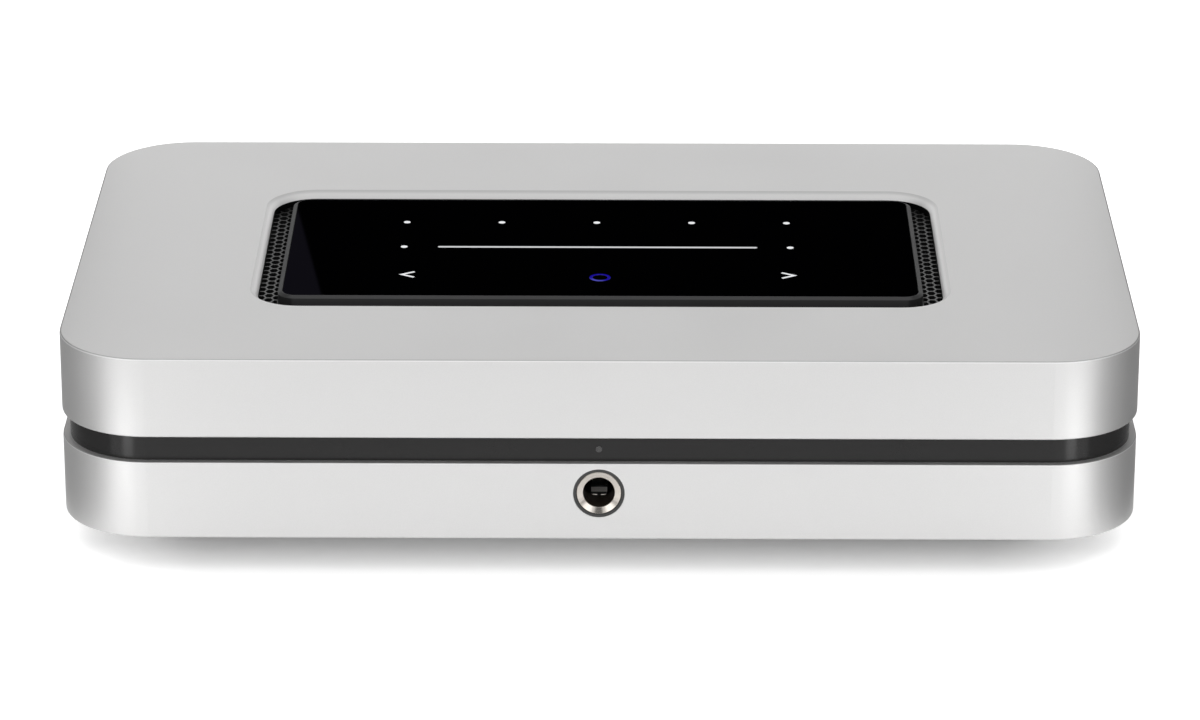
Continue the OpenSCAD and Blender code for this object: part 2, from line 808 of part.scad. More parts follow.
module base_plate() color("#2a2a2c") difference() {
  union() {
    translate([0, 0, z_plinth]) linear_extrude(plinth_t) difference() {
      translate([0, y_mid]) rounded_rect(plinth_w, plinth_d, plinth_r);
      vent_slots_outline();
    }
    translate([0, y_mid, z_plinth + plinth_t]) linear_extrude(z_low - z_plinth - plinth_t)
      difference() {
        rounded_rect(plinth_w, plinth_d, plinth_r);
        rounded_rect(plinth_w - 2 * plinth_t, plinth_d - 2 * plinth_t, plinth_r - plinth_t);
      }
    at_bosses() translate([0, 0, z_plinth]) cylinder(r = screw_tube_r, h = z_low - z_plinth);
  }
  at_bosses() {
    translate([0, 0, z_plinth - cut])
      cylinder(r = screw_head_r + hole_gap, h = screw_head_sink + screw_head_h + cut);
    cylinder(r = case_screw_r + hole_gap, h = z_low + cut);
  }
  at_feet() cylinder(r = foot_r + fit_gap, h = z_plinth + foot_seat);
}

module rubber_feet() color("#1d1d1e") at_feet() rotate_extrude() {
  square([foot_r - foot_edge_r, foot_edge_r]);
  translate([foot_r - foot_edge_r, foot_edge_r]) rotate(-90) quarter(foot_edge_r);
  translate([0, foot_edge_r]) square([foot_r, foot_show + foot_seat - foot_edge_r]);
}

// A hole for a block that stands on the main board, in x and z
module block_hole(x, size) {
  translate([x - size[0] / 2 - fit_gap, board_top - fit_gap])
    square([size[0] + 2 * fit_gap, size[2] + 2 * fit_gap]);
}

// Holes for the sockets, in x and z
module socket_holes() {
  for (x = phono_x) translate([x, phono_z]) circle(phono_root_r + hole_gap);
  for (x = mini_x) translate([x, mini_z]) circle(mini_nose_r + hole_gap);
  for (p = rear_screws) translate(p) circle(board_screw_r + hole_gap);
  block_hole(optical_x, optical_block);
  block_hole(hdmi_x, hdmi_size);
  block_hole(usb_x, usb_size);
  block_hole(lan_x, lan_size);
  translate([inlet_x, inlet_z])
    two_lobes(inlet_nose_r + fit_gap, inlet_waist + 2 * inlet_nose_wall);
}

module rear_panel() color("#242426") plate_y(y_socket, y_panel) difference() {
  translate([0, window_z]) rounded_rect(rear_w, rear_h, window_r);
  socket_holes();
}

// Fasteners

module screw(r, length, head_r, head_h) {
  cylinder(r = r, h = length);
  translate([0, 0, -head_h]) difference() {
    cylinder(r = head_r, h = head_h);
    translate([0, 0, -cut]) cylinder(r = head_r / 2, h = head_h / 2 + cut, $fn = 6);
  }
}

module case_screws() color("#2f2f31") at_bosses()
  translate([0, 0, z_plinth + screw_head_sink + screw_head_h])
    screw(case_screw_r, z_up + screw_bite - z_plinth - screw_head_sink - screw_head_h,
          screw_head_r, screw_head_h);

module rear_panel_screws() color("#1b1b1c") for (p = rear_screws)
  translate([p[0], y_panel, p[1]]) rotate([90, 0, 0])
    screw(board_screw_r, rear_screw_l, rear_head_r, rear_head_h);

// Tapped holes for the rear panel's screws
module rear_screw_holes() {
  for (p = rear_screws) translate([p[0], 0, p[1]])
    rod_y(board_screw_r + thread_gap, y_panel - rear_screw_l - cut, y_socket + cut);
}

module board_screws() color("#b9bcc0") {
  at_spots(concat(main_screws, psu_screws)) translate([0, 0, board_top]) rotate([180, 0, 0])
    screw(board_screw_r, board_screw_l, board_head_r, board_head_h);
  at_spots(front_screws) translate([0, 0, front_top]) rotate([180, 0, 0])
    screw(board_screw_r, board_screw_l, board_head_r, board_head_h);
  at_deck_screws() translate([0, 0, z_deck - deck_t])
    screw(board_screw_r, deck_screw_l - fit_gap, board_head_r, board_head_h);
}

// Touch panel

module touch_glass() color("#050507") translate([0, panel_y, z_ledge])
  linear_extrude(glass_t) rounded_rect(glass_w, glass_d, panel_r - rim_w - glass_gap);

module touch_bezel() color("#3a3a3c") translate([0, panel_y, 0])
  sweep_around(panel_w, panel_d, panel_r) polygon([
    [-rim_w - ledge_w, z_deck], [0, z_deck], [0, z_top - bezel_fall],
    [bezel_flat - rim_w, z_top], [-rim_w, z_top], [-rim_w, z_ledge],
    [-rim_w - ledge_w, z_ledge]
  ]);

led_spots = concat(
  [for (i = [-2:2]) [i * icon_pitch, icon_back]],
  [for (s = [-1, 1]) [s * icon_side, 0]],
  [for (s = [-1, 1]) [s * icon_side, -icon_front]],
  [[0, -icon_front]],
  [for (i = [0:line_leds - 1]) [line_half * (2 * i / (line_leds - 1) - 1), 0]]
);

module light_guide() color("#e8ecef") translate([0, panel_y, z_deck + touch_board_t])
  linear_extrude(guide_t) difference() {
    rounded_rect(well_w, well_d, well_r);
    for (p = led_spots) translate(p) square(led_w + led_gap, center = true);
  }

module touch_leds() color("#fff7df") translate([0, panel_y, z_deck + touch_board_t])
  at_spots(led_spots) block([led_w, led_w, led_h]);

module touch_board() color("#1f5134") translate([0, panel_y, z_deck])
  linear_extrude(touch_board_t) rounded_rect(well_w, well_d, well_r);

module panel_deck() color("#19191a") difference() {
  translate([0, panel_y, z_deck - deck_t]) linear_extrude(deck_t)
    rounded_rect(deck_w, deck_d, recess_r);
  for (s = [-1, 1]) translate([s * (mesh_in + mesh_out) / 2, panel_y, z_deck]) {
    translate([0, 0, -mesh_t]) block([mesh_out - mesh_in + fit_gap, mesh_d + fit_gap, cut + mesh_t]);
    translate([0, 0, -deck_t - cut])
      block([mesh_out - mesh_in - 2 * mesh_ledge, mesh_d - 2 * mesh_ledge, deck_t + cut]);
  }
  at_deck_screws() translate([0, 0, z_deck - deck_t - cut])
    cylinder(r = board_screw_r + hole_gap, h = deck_t + 2 * cut);
  translate([0, touch_ribbon_y, z_deck - deck_t - cut])
    block([touch_ribbon_w + 4 * fit_gap, ribbon_t + 4 * fit_gap, deck_t + 2 * cut]);
}

// A hexagon with its points to the left and right
module mesh_hole() {
  half_y = (mesh_pitch_y - mesh_bar) / 2;
  half_x = mesh_pitch_x * 2 / 3 - mesh_bar / 2;
  polygon([[half_x, 0], [half_x / 2, half_y], [-half_x / 2, half_y],
           [-half_x, 0], [-half_x / 2, -half_y], [half_x / 2, -half_y]]);
}

module vent_mesh(side) {
  middle = mesh_mid - (mesh_in + mesh_out) / 2;
  translate([side * (mesh_in + mesh_out) / 2, panel_y, z_deck - mesh_t]) linear_extrude(mesh_t)
    difference() {
      square([mesh_out - mesh_in, mesh_d], center = true);
      for (c = [-mesh_cols:mesh_cols]) for (i = [-mesh_rows:mesh_rows])
        translate([side * middle + c * mesh_pitch_x, (i + (abs(c) % 2) / 2) * mesh_pitch_y])
          mesh_hole();
    }
}

module vent_mesh_left() color("#4a4a4b") vent_mesh(-1);

module vent_mesh_right() color("#4a4a4b") vent_mesh(1);

module touch_ribbon() color("#d9d4c4") {
  bottom = board_top + plug_h;
  translate([0, touch_ribbon_y, bottom]) block([touch_ribbon_w, ribbon_t, z_deck - bottom]);
}

// Front board and status light

module status_lens() color("#6d6b6a") translate([0, y_front, lens_z])
  rod_y(lens_r, band_inset, lens_depth);

module status_led() color("#f4e9c8") translate([0, y_front + lens_depth + led_side / 2, front_top])
  block([2 * led_side, led_side, lens_z - front_top + led_side / 2]);

module ir_receiver() color("#18181b")
  translate([ir_x, front_y0 + ir_in + ir_size[1] / 2, front_top]) {
    block(ir_size);
    translate([0, -ir_size[1] / 2, ir_size[2] / 2]) sphere(ir_dome_r);
  }

module front_board() color("#1f5134") difference() {
  translate([-front_board_w / 2, front_y0, front_z])
    cube([front_board_w, front_y1 - front_y0, front_board_t]);
  at_spots(front_screws) translate([0, 0, front_z - cut])
    cylinder(r = board_screw_r + hole_gap, h = front_board_t + 2 * cut);
}

module front_ribbon() color("#d9d4c4") translate([front_ribbon_x, 0, 0]) {
  level = front_top + plug_h / 2;
  foot = board_top + plug_h;
  start = front_plug_y + plug_d / 2;
  translate([0, (start + front_ribbon_y + ribbon_t / 2) / 2, level])
    block([front_ribbon_w, front_ribbon_y + ribbon_t / 2 - start, ribbon_t]);
  translate([0, front_ribbon_y, foot]) block([front_ribbon_w, ribbon_t, level - foot]);
}

// Headphone socket; distances are measured back from the case's front

module jack_housing() color("#161617") translate([0, y_front, jack_z]) difference() {
  union() {
    translate([0, (jack_depth + jack_back) / 2, jack_low])
      block([jack_w, jack_back - jack_depth, front_z - jack_z - jack_low]);
    rod_y(nose_r, countersink, jack_depth);
  }
  rod_y(jack_bore_r, countersink - cut, jack_space + cut);
  translate([0, jack_space + jack_space_d / 2, -jack_room_h / 2])
    block([jack_w - 2 * jack_side_t, jack_space_d, jack_room_h]);
}

module jack_bushing() color("#d6d2cc") translate([0, y_front, jack_z]) turned_y()
  polygon([
    [bushing_r - bushing_edge, 0], [bushing_r, bushing_edge], [bushing_r, jack_depth],
    [nose_r + thread_gap, jack_depth], [nose_r + thread_gap, countersink],
    [jack_bore_r, countersink]
  ]);

module jack_trim_ring() color("#474646") translate([0, y_front, jack_z]) difference() {
  rod_y(trim_r, trim_back, trim_seat);
  rod_y(bushing_r + trim_gap, trim_back - cut, trim_seat + cut);
}

// Contact springs: a foot near the housing wall, a ramp into the bore and a turned end
spring_floor = jack_room_h / 2 - spring_gap;
crest_in = 1.9;
foot_l = 3.5;
pad_l = 2.5;
end_l = 1.2;
end_h = 0.8;
sleeve_rise = 2.5;
sleeve_run = 9.5;
sleeve_step = 0.1;
fork_w = 4.4;
fork_slot = 0.7;
fork_l = 0.8;
fork_up = 0.3;
tip_w = 2.6;
tip_in = 7;
tip_run = 10;
ring_w = 2.4;
ring_in = 1.5;
ring_run = 9;
sleeve_tip = jack_space + spring_gap;
sleeve_crest = sleeve_tip + sleeve_rise;
sleeve_foot = sleeve_crest + sleeve_run;
tip_foot = jack_space + tip_in;
tip_crest = tip_foot + tip_run;
ring_end = jack_space + jack_space_d - ring_in;
ring_crest = ring_end - ring_run;

module jack_sleeve_spring() color("#b9b6b0") translate([0, y_front, jack_z]) {
  low = -spring_floor + leaf_t;
  front = -jack_bore_r - sleeve_step;
  fork_mid = sleeve_tip + fork_l / 2;
  plate_x(-leaf_w / 2, leaf_w / 2) strip([
    [fork_mid, front], [sleeve_crest, -crest_in], [sleeve_foot, low], [sleeve_foot + foot_l, low]
  ], leaf_t);
  difference() {
    plate_x(-fork_w / 2, fork_w / 2) strip([
      [sleeve_tip, front + fork_up], [fork_mid, front], [sleeve_tip + fork_l, front]
    ], leaf_t);
    translate([0, sleeve_tip, front - cut]) block([fork_slot, fork_slot, 2 * cut]);
  }
}

module jack_tip_spring() color("#b9b6b0") translate([0, y_front, jack_z])
  plate_x(-tip_w / 2, tip_w / 2) strip([
    [tip_foot, spring_floor], [tip_foot + pad_l, spring_floor], [tip_crest, crest_in],
    [tip_crest + end_l, crest_in + end_h]
  ], leaf_t);

module jack_ring_spring() color("#b9b6b0") translate([0, y_front, jack_z - ring_w / 2]) {
  out = jack_w / 2 - jack_side_t - spring_gap;
  pad = ring_end - pad_l;
  end = ring_crest - end_l;
  linear_extrude(ring_w) polygon([
    [out, ring_end], [out, pad], [crest_in, ring_crest], [crest_in + end_h, end],
    [crest_in + end_h - leaf_t, end], [crest_in - leaf_t, ring_crest],
    [out - leaf_t, pad], [out - leaf_t, ring_end]
  ]);
}

// Main board and what stands on it

module main_board() color("#1c4a2f") difference() {
  translate([0, 0, board_z]) linear_extrude(board_t) {
    translate([main_x0, main_y0]) square([main_x1 - main_x0, main_y1 - main_y0]);
    translate([main_x0, ear_y0]) square([row_x1 - main_x0, main_y1 - ear_y0]);
  }
  at_spots(main_screws) translate([0, 0, board_z - cut])
    cylinder(r = board_screw_r + hole_gap, h = board_t + 2 * cut);
}

module board_connectors() color("#e6e0cf") {
  ribbon_plug = [front_ribbon_w + 2 * plug_side, plug_d, plug_h];
  translate([0, touch_ribbon_y, board_top]) block([touch_ribbon_w + 2 * plug_side, plug_d, plug_h]);
  translate([front_ribbon_x, front_ribbon_y, board_top]) block(ribbon_plug);
  translate([front_ribbon_x, front_plug_y, front_top]) block(ribbon_plug);
  for (x = [dc_psu_x, dc_main_x]) translate([x, dc_y, board_top]) block(dc_plug);
}

module processor_chip() color("#2a2a2b") translate([chip_x, chip_y, board_top])
  block([chip_w, chip_w, chip_h]);

module processor_heatsink() color("#3c3f43") translate([chip_x, chip_y, board_top + chip_h]) {
  block([sink_w, sink_w, sink_base]);
  pitch = (sink_w - sink_fin_t) / (sink_fins - 1);
  for (i = [0:sink_fins - 1])
    translate([i * pitch - (sink_w - sink_fin_t) / 2, 0, 0]) block([sink_fin_t, sink_w, sink_h]);
}

module wireless_module() color("#c4c6c8") translate([wifi_x, lead_y, board_top])
  linear_extrude(wifi_h) rounded_rect(wifi_w, wifi_d, wifi_r);

module main_board_chips() color("#232324")
  for (c = chips) translate([c[0], c[1], board_top]) block(c[2]);

module main_board_capacitors() color("#2b3a55")
  for (c = main_caps) for (i = [0, 1])
    translate([c[0] + i * c[2], c[1], board_top]) cylinder(r = c[3], h = c[4]);

module antennas() color("#1d1d1f") for (s = [-1, 1])
  translate([s * (antenna_x - antenna_t / 2), lead_y, lead_z - antenna_h / 2])
    block([antenna_t, antenna_l, antenna_h]);

module antenna_leads() color("#3b3b3d") for (s = [-1, 1]) {
  from = s * (antenna_x - antenna_t);
  to = wifi_x + s * lead_drop;
  foot = board_top + wifi_h;
  translate([min(from, to), lead_y, lead_z]) rotate([0, 90, 0])
    cylinder(r = coax_r, h = abs(from - to));
  translate([to, lead_y, lead_z]) sphere(coax_r);
  translate([to, lead_y, foot]) cylinder(r = coax_r, h = lead_z - foot);
}

// Power board and what stands on it

module psu_board() color("#6d5a2c") difference() {
  translate([psu_x0, psu_y0, board_z]) cube([psu_w, psu_y1 - psu_y0, board_t]);
  at_spots(psu_screws) translate([0, 0, board_z - cut])
    cylinder(r = board_screw_r + hole_gap, h = board_t + 2 * cut);
}

module psu_transformer() color("#c9a64a") translate([core_x, core_y, board_top]) {
  difference() {
    block([core_w, core_d, core_h]);
    translate([0, 0, (core_h - coil_h) / 2])
      block([core_w - 2 * core_leg, core_d + 2 * cut, coil_h]);
  }
  translate([0, 0, (core_h - coil_h - cut) / 2]) cylinder(r = coil_r, h = coil_h + cut);
}

module psu_capacitors() color("#20242c") {
  translate([bulk_x, bulk_y, board_top]) cylinder(r = bulk_r, h = bulk_h);
  for (s = [-1, 1]) translate([out_x + s * out_pitch / 2, out_y, board_top])
    cylinder(r = out_r, h = out_h);
}

module mains_choke() color("#7a4a2a") translate([choke_x, choke_y, board_top]) {
  block([choke_w, choke_d, choke_base]);
  translate([0, 0, choke_base + choke_r - choke_sink]) rotate([0, 90, 0]) difference() {
    cylinder(r = choke_r, h = choke_wind, center = true);
    cylinder(r = choke_hole_r, h = choke_wind + 2 * cut, center = true);
  }
}

module mains_fuse() color("#d8dadd") translate([fuse_x, fuse_y, board_top + fuse_r])
  rotate([0, 90, 0]) cylinder(r = fuse_r, h = fuse_l, center = true);

module dc_harness() color("#b3312c") for (i = [0:wires - 1]) {
  base = board_top + dc_plug[2];
  translate([0, dc_y + (i - (wires - 1) / 2) * wire_pitch, 0]) {
    for (x = [dc_psu_x, dc_main_x]) {
      translate([x, 0, base]) cylinder(r = wire_r, h = dc_rise);
      translate([x, 0, base + dc_rise]) sphere(wire_r);
    }
    translate([dc_psu_x, 0, base + dc_rise]) rotate([0, 90, 0])
      cylinder(r = wire_r, h = dc_main_x - dc_psu_x);
  }
}

// Rear sockets

module mains_inlet() color("#1a1a1b") difference() {
  translate([inlet_x, 0, inlet_z]) difference() {
    union() {
      translate([0, y_socket - inlet_size[1] / 2, -inlet_size[2] / 2]) block(inlet_size);
      plate_y(y_socket, inlet_face)
        two_lobes(inlet_nose_r, inlet_waist + 2 * inlet_nose_wall);
    }
    plate_y(inlet_face - inlet_depth, inlet_face + cut) two_lobes(inlet_lobe_r, inlet_waist);
    for (s = [-1, 1]) translate([s * inlet_pin_x, 0, 0])
      rod_y(inlet_pin_r + thread_gap, y_socket - inlet_size[1] - cut, y_socket);
  }
  rear_screw_holes();
}

module mains_inlet_pins() color("#cfd1d4") for (s = [-1, 1])
  translate([inlet_x + s * inlet_pin_x, 0, 0]) {
    pin_root = inlet_face - inlet_depth;
    tail = psu_y1 - tail_back;
    translate([0, 0, inlet_z]) rod_y(inlet_pin_r, tail, pin_root + inlet_pin_l);
    translate([0, tail, board_top]) block([tab_w, tab_w, inlet_z - board_top]);
  }

module phono_housings() color("#1c1c1d") difference() {
  for (pair = [0, 2])
    translate([(phono_x[pair] + phono_x[pair + 1]) / 2, y_socket - phono_block[1] / 2, board_top])
      block([phono_pitch + phono_w, phono_block[1], phono_block[2]]);
  rear_screw_holes();
}

module phono_barrels() color("#d2b45e") for (x = phono_x) translate([x, 0, phono_z]) difference() {
  union() {
    rod_y(phono_root_r, y_socket, phono_end);
    rod_y(phono_r, y_panel + collar_t, phono_end);
  }
  rod_y(phono_r - phono_wall, y_socket - cut, phono_end + cut);
}

// An insulating sleeve inside a phono socket and the collar round its outside
module phono_insulator(x) {
  translate([x, 0, phono_z]) {
    difference() {
      rod_y(phono_r - phono_wall - thread_gap, y_socket, phono_end - insulator_back);
      rod_y(phono_hole_r + contact_wall + thread_gap, y_socket - cut, phono_end);
    }
    difference() {
      rod_y(collar_r, y_panel, y_panel + collar_t);
      rod_y(phono_root_r + thread_gap, y_panel - cut, y_panel + collar_t + cut);
    }
  }
}

module phono_insulator_left() color("#ececea") phono_insulator(phono_x[3]);

module phono_insulator_right() color("#b3262b") phono_insulator(phono_x[2]);

module phono_insulators_dark() color("#232325") {
  phono_insulator(phono_x[0]);
  phono_insulator(phono_x[1]);
}

module phono_contacts() color("#d2b45e") for (x = phono_x) translate([x, 0, phono_z]) difference() {
  rod_y(phono_hole_r + contact_wall, y_socket, phono_end - contact_back);
  rod_y(phono_hole_r, y_socket + contact_floor, phono_end);
}

module optical_socket() color("#1b1b1d") translate([optical_x, 0, 0]) difference() {
  front = y_socket + optical_proud;
  translate([0, front - optical_block[1] / 2, board_top]) block(optical_block);
  translate([0, front - optical_depth / 2 + cut / 2, optical_z0])
    block([optical_w, optical_depth + cut, optical_h]);
  pivot_l = optical_w + 2 * (pivot_in + hinge_gap);
  translate([-pivot_l / 2, pivot_y, pivot_z]) rotate([0, 90, 0])
    cylinder(r = pivot_r + hinge_gap, h = pivot_l);
}

module optical_shutter() color("#2b2b2e") translate([optical_x, pivot_y, 0]) {
  flap_w = optical_w - 2 * spring_gap;
  flap_low = optical_z0 + spring_gap;
  translate([0, 0, flap_low]) block([flap_w, shutter_t, pivot_z - flap_low]);
  translate([-flap_w / 2, 0, pivot_z]) rotate([0, 90, 0])
    cylinder(r = shutter_t / 2 + knuckle_t, h = flap_w);
  pivot_l = optical_w + 2 * pivot_in;
  translate([-pivot_l / 2, 0, pivot_z]) rotate([0, 90, 0]) cylinder(r = pivot_r, h = pivot_l);
}

// An open-fronted metal shell on the main board
module port_shell(size, chamfer) {
  w = size[0] / 2;
  h = size[2];
  t = port_wall;
  translate([0, 0, board_top]) difference() {
    plate_y(port_face - size[1], port_face) polygon([
      [-w, h], [w, h], [w, chamfer], [w - chamfer, 0], [chamfer - w, 0], [-w, chamfer]
    ]);
    plate_y(port_face - size[1] + t, port_face + cut) polygon([
      [t - w, h - t], [w - t, h - t], [w - t, chamfer], [w - chamfer, t], [chamfer - w, t], [t - w, chamfer]
    ]);
  }
}

module hdmi_socket() color("#a9abae") translate([hdmi_x, 0, 0]) port_shell(hdmi_size, hdmi_chamfer);

module usb_socket() color("#a9abae") translate([usb_x, 0, 0]) port_shell(usb_size, usb_chamfer);

module socket_tongues() color("#202022") translate([0, port_face + port_wall, board_top]) {
  translate([hdmi_x, (hdmi_tongue[1] / 2) - hdmi_size[1], (hdmi_size[2] - hdmi_tongue[2]) / 2])
    block(hdmi_tongue);
  translate([usb_x, (usb_tongue[1] / 2) - usb_size[1], usb_size[2] - port_wall - usb_tongue_down])
    block(usb_tongue);
}

module lan_socket() color("#2a2a2c") translate([lan_x, 0, 0]) difference() {
  translate([0, port_face - lan_size[1] / 2, board_top]) block(lan_size);
  translate([0, port_face - lan_depth / 2 + cut / 2, board_top + lan_base + latch_h]) {
    block([lan_w, lan_depth + cut, lan_h]);
    translate([0, 0, -latch_h]) block([latch_w, lan_depth + cut, latch_h + cut]);
  }
}

module lan_contacts() color("#d2b45e") {
  roof = board_top + lan_base + latch_h + lan_h;
  top = roof - lan_pin_top;
  back = port_face - lan_depth;
  for (i = [0:lan_pins - 1]) translate([lan_x + (i - (lan_pins - 1) / 2) * lan_pin_pitch, 0, 0])
    plate_x(-lan_pin_w / 2, lan_pin_w / 2) strip([
      [back, roof - lan_pin_drop], [back + lan_pin_l, top], [back + lan_pin_l + lan_pin_flat, top]
    ], lan_pin_w);
}

module mini_sockets() color("#1c1c1d") for (x = mini_x) translate([x, 0, mini_z]) difference() {
  union() {
    translate([0, y_socket - mini_block[1] / 2, board_top - mini_z]) block(mini_block);
    rod_y(mini_nose_r, y_socket - cut, y_panel + mini_proud);
  }
  rod_y(mini_bore_r, y_panel + mini_proud - mini_depth, y_panel + cut);
}

top_shell();
bottom_shell();
waist_band();
base_plate();
rubber_feet();
rear_panel();
case_screws();
rear_panel_screws();
board_screws();
touch_glass();
touch_bezel();
light_guide();
touch_leds();
touch_board();
panel_deck();
vent_mesh_left();
vent_mesh_right();
touch_ribbon();
status_lens();
status_led();
ir_receiver();
front_board();
front_ribbon();
jack_housing();
jack_bushing();
jack_trim_ring();
jack_sleeve_spring();
jack_tip_spring();
jack_ring_spring();
main_board();
board_connectors();
processor_chip();
processor_heatsink();
wireless_module();
main_board_chips();
main_board_capacitors();
antennas();
antenna_leads();
psu_board();
psu_transformer();
psu_capacitors();
mains_choke();
mains_fuse();
dc_harness();
mains_inlet();
mains_inlet_pins();
phono_housings();
phono_barrels();
phono_insulator_left();
phono_insulator_right();
phono_insulators_dark();
phono_contacts();
optical_socket();
optical_shutter();
hdmi_socket();
usb_socket();
socket_tongues();
lan_socket();
lan_contacts();
mini_sockets();
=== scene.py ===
import json
import math

import bmesh
import bpy
from mathutils import Matrix, Vector


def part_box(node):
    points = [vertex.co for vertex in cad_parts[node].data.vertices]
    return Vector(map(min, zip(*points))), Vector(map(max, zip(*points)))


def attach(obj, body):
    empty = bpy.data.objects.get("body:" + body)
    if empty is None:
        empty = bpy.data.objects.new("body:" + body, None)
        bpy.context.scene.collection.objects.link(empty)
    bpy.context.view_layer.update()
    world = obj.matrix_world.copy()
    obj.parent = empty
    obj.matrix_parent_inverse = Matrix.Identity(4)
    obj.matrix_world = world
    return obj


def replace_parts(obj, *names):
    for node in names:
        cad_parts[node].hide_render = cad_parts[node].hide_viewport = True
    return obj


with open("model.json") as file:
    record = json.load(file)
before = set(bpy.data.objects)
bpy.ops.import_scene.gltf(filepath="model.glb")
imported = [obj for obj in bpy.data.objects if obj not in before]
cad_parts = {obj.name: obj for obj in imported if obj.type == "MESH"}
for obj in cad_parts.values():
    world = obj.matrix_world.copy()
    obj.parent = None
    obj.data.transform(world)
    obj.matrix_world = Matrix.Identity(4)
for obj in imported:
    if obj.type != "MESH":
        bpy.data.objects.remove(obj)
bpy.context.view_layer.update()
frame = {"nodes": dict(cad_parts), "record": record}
nodes = frame["nodes"]
MM = 0.001
WHITE = (1.0, 1.0, 1.0, 1.0)
BLACK = (0.0, 0.0, 0.0, 1.0)

# Camera: the photograph's own view, worked out for a picture of 1200 x 720
IMAGE_W = 1200
FOCAL_PX = 5228.98
EYE_MM = (6.6167, -1051.2371, 420.9967)
YAW, PITCH, ROLL = -0.0065493, 0.3659070, 0.0006973
SENSOR_MM = 36.0
CLIP_NEAR, CLIP_FAR = 0.05, 50.0


def make_camera():
    data = bpy.data.cameras.new("camera")
    data.sensor_fit = "HORIZONTAL"
    data.sensor_width = SENSOR_MM
    data.lens = FOCAL_PX * SENSOR_MM / IMAGE_W
    data.clip_start = CLIP_NEAR
    data.clip_end = CLIP_FAR
    level = Vector((math.cos(YAW), -math.sin(YAW), 0.0))
    heading = Vector((math.sin(YAW), math.cos(YAW), 0.0))
    ahead = math.cos(PITCH) * heading - Vector((0.0, 0.0, math.sin(PITCH)))
    over = level.cross(ahead)
    right = math.cos(ROLL) * level + math.sin(ROLL) * over
    up = math.cos(ROLL) * over - math.sin(ROLL) * level
    place = Matrix((right, up, -ahead)).transposed().to_4x4()
    place.translation = Vector(EYE_MM) * MM
    camera = bpy.data.objects.new("camera", data)
    camera.matrix_world = place
    bpy.context.scene.collection.objects.link(camera)
    bpy.context.scene.camera = camera
    bpy.context.scene.view_settings.view_transform = "Standard"


# Node helpers, and the parts of a noise's range that are stretched over a whole change
NOISE_RANGE = (0.25, 0.75)
SPECK_RANGE = (0.3, 0.7)


class Nodes:
    """Adds nodes to one tree and links them."""

    def __init__(self, tree):
        self.tree = tree
        self.tree.nodes.clear()

    def put(self, socket, value):
        """Links another node's output to a socket, or sets a plain value on it."""
        if isinstance(value, bpy.types.NodeSocket):
            self.tree.links.new(value, socket)
        else:
            socket.default_value = value

    def add(self, kind, inputs=None, **settings):
        node = self.tree.nodes.new(kind)
        for key, value in settings.items():
            setattr(node, key, value)
        for key, value in (inputs or {}).items():
            self.put(node.inputs[key], value)
        return node

    def math(self, operation, a, b=0.0, c=0.0, clamp=False):
        inputs = {0: a, 1: b, 2: c}
        return self.add("ShaderNodeMath", inputs, operation=operation, use_clamp=clamp).outputs[0]

    def ramp(self, value, low, high, to_low=0.0, to_high=1.0):
        """Goes smoothly from to_low at low to to_high at high."""
        inputs = {0: value, 1: low, 2: high, 3: to_low, 4: to_high}
        return self.add("ShaderNodeMapRange", inputs, interpolation_type="SMOOTHSTEP").outputs[0]

    def between(self, factor, a, b):
        """The number that is a where factor is 0 and b where it is 1."""
        return self.math("ADD", a, self.math("MULTIPLY", factor, self.math("SUBTRACT", b, a)))

    def mix(self, factor, a, b, blend="MIX"):
        """Mixes two colours, which this node takes in inputs 6 and 7 and gives in output 2."""
        node = self.add("ShaderNodeMix", data_type="RGBA", blend_type=blend)
        for index, value in ((0, factor), (6, a), (7, b)):
            self.put(node.inputs[index], value)
        return node.outputs[2]

    def grey(self, tone):
        return self.add("ShaderNodeCombineColor", {0: tone, 1: tone, 2: tone}).outputs[0]

    def shaded(self, tint, tone):
        """The colour tint times tone."""
        return self.mix(1.0, tint, self.grey(tone), "MULTIPLY")

    def place(self):
        return self.add("ShaderNodeTexCoord").outputs["Object"]

    def normal(self):
        return self.add("ShaderNodeNewGeometry").outputs["Normal"]

    def backfacing(self):
        return self.add("ShaderNodeNewGeometry").outputs["Backfacing"]

    def axes(self, vector):
        return self.add("ShaderNodeSeparateXYZ", {0: vector}).outputs

    def noise(self, place, scale, detail):
        inputs = {"Vector": place, "Scale": scale, "Detail": detail}
        return self.add("ShaderNodeTexNoise", inputs).outputs[0]

    def finish(self, shader):
        self.add("ShaderNodeOutputMaterial", {"Surface": shader})


def new_material(name):
    """An empty material, and what adds nodes to it."""
    material = bpy.data.materials.new(name)
    material.use_nodes = True
    return material, Nodes(material.node_tree)


def rgba(colour, scale=1.0):
    return (*[min(1.0, c * scale) for c in colour[:3]], 1.0)


# World: soft light from above and from both sides of the front, weaker at the sides.
# A ramp's two ends are parts of a unit direction, or cosines of the angle off a lamp's middle.
BEHIND, BEHIND_RAMP = 0.885, (-0.3, 0.5)
AHEAD, AHEAD_LOW, AHEAD_RAMP = 0.765, 0.48, (0.12, 0.34)
BESIDE, BESIDE_RAMP = 0.18, (0.70, 0.96)
ABOVE, ABOVE_RAMP = 1.85, (0.50, 0.92)
FRONT, FRONT_RAMP = 1.06, (0.955, 0.99)
FRONT_AZIMUTH, FRONT_HEIGHT = 28, 14
SHADE, SHADE_RAMP = 0.0, (0.975, 0.99)
SHADE_HEIGHT = 26
BACKDROP_GLOSS = 0.15
LEAST_LEVEL, LEAST_DEPTH = 1e-6, 0.001
# The screen's places across are x over y of a direction, and its heights are z
SCREEN_HALF, SCREEN_EDGE = 0.10, 0.03
SCREEN_LOW, SCREEN_HIGH = 0.27, 0.41
SHEEN = (0.024, 0.022, 0.034, 1.0)
SHEEN_LEAN, SHEEN_END = 0.287, (-0.1630, -0.1622)


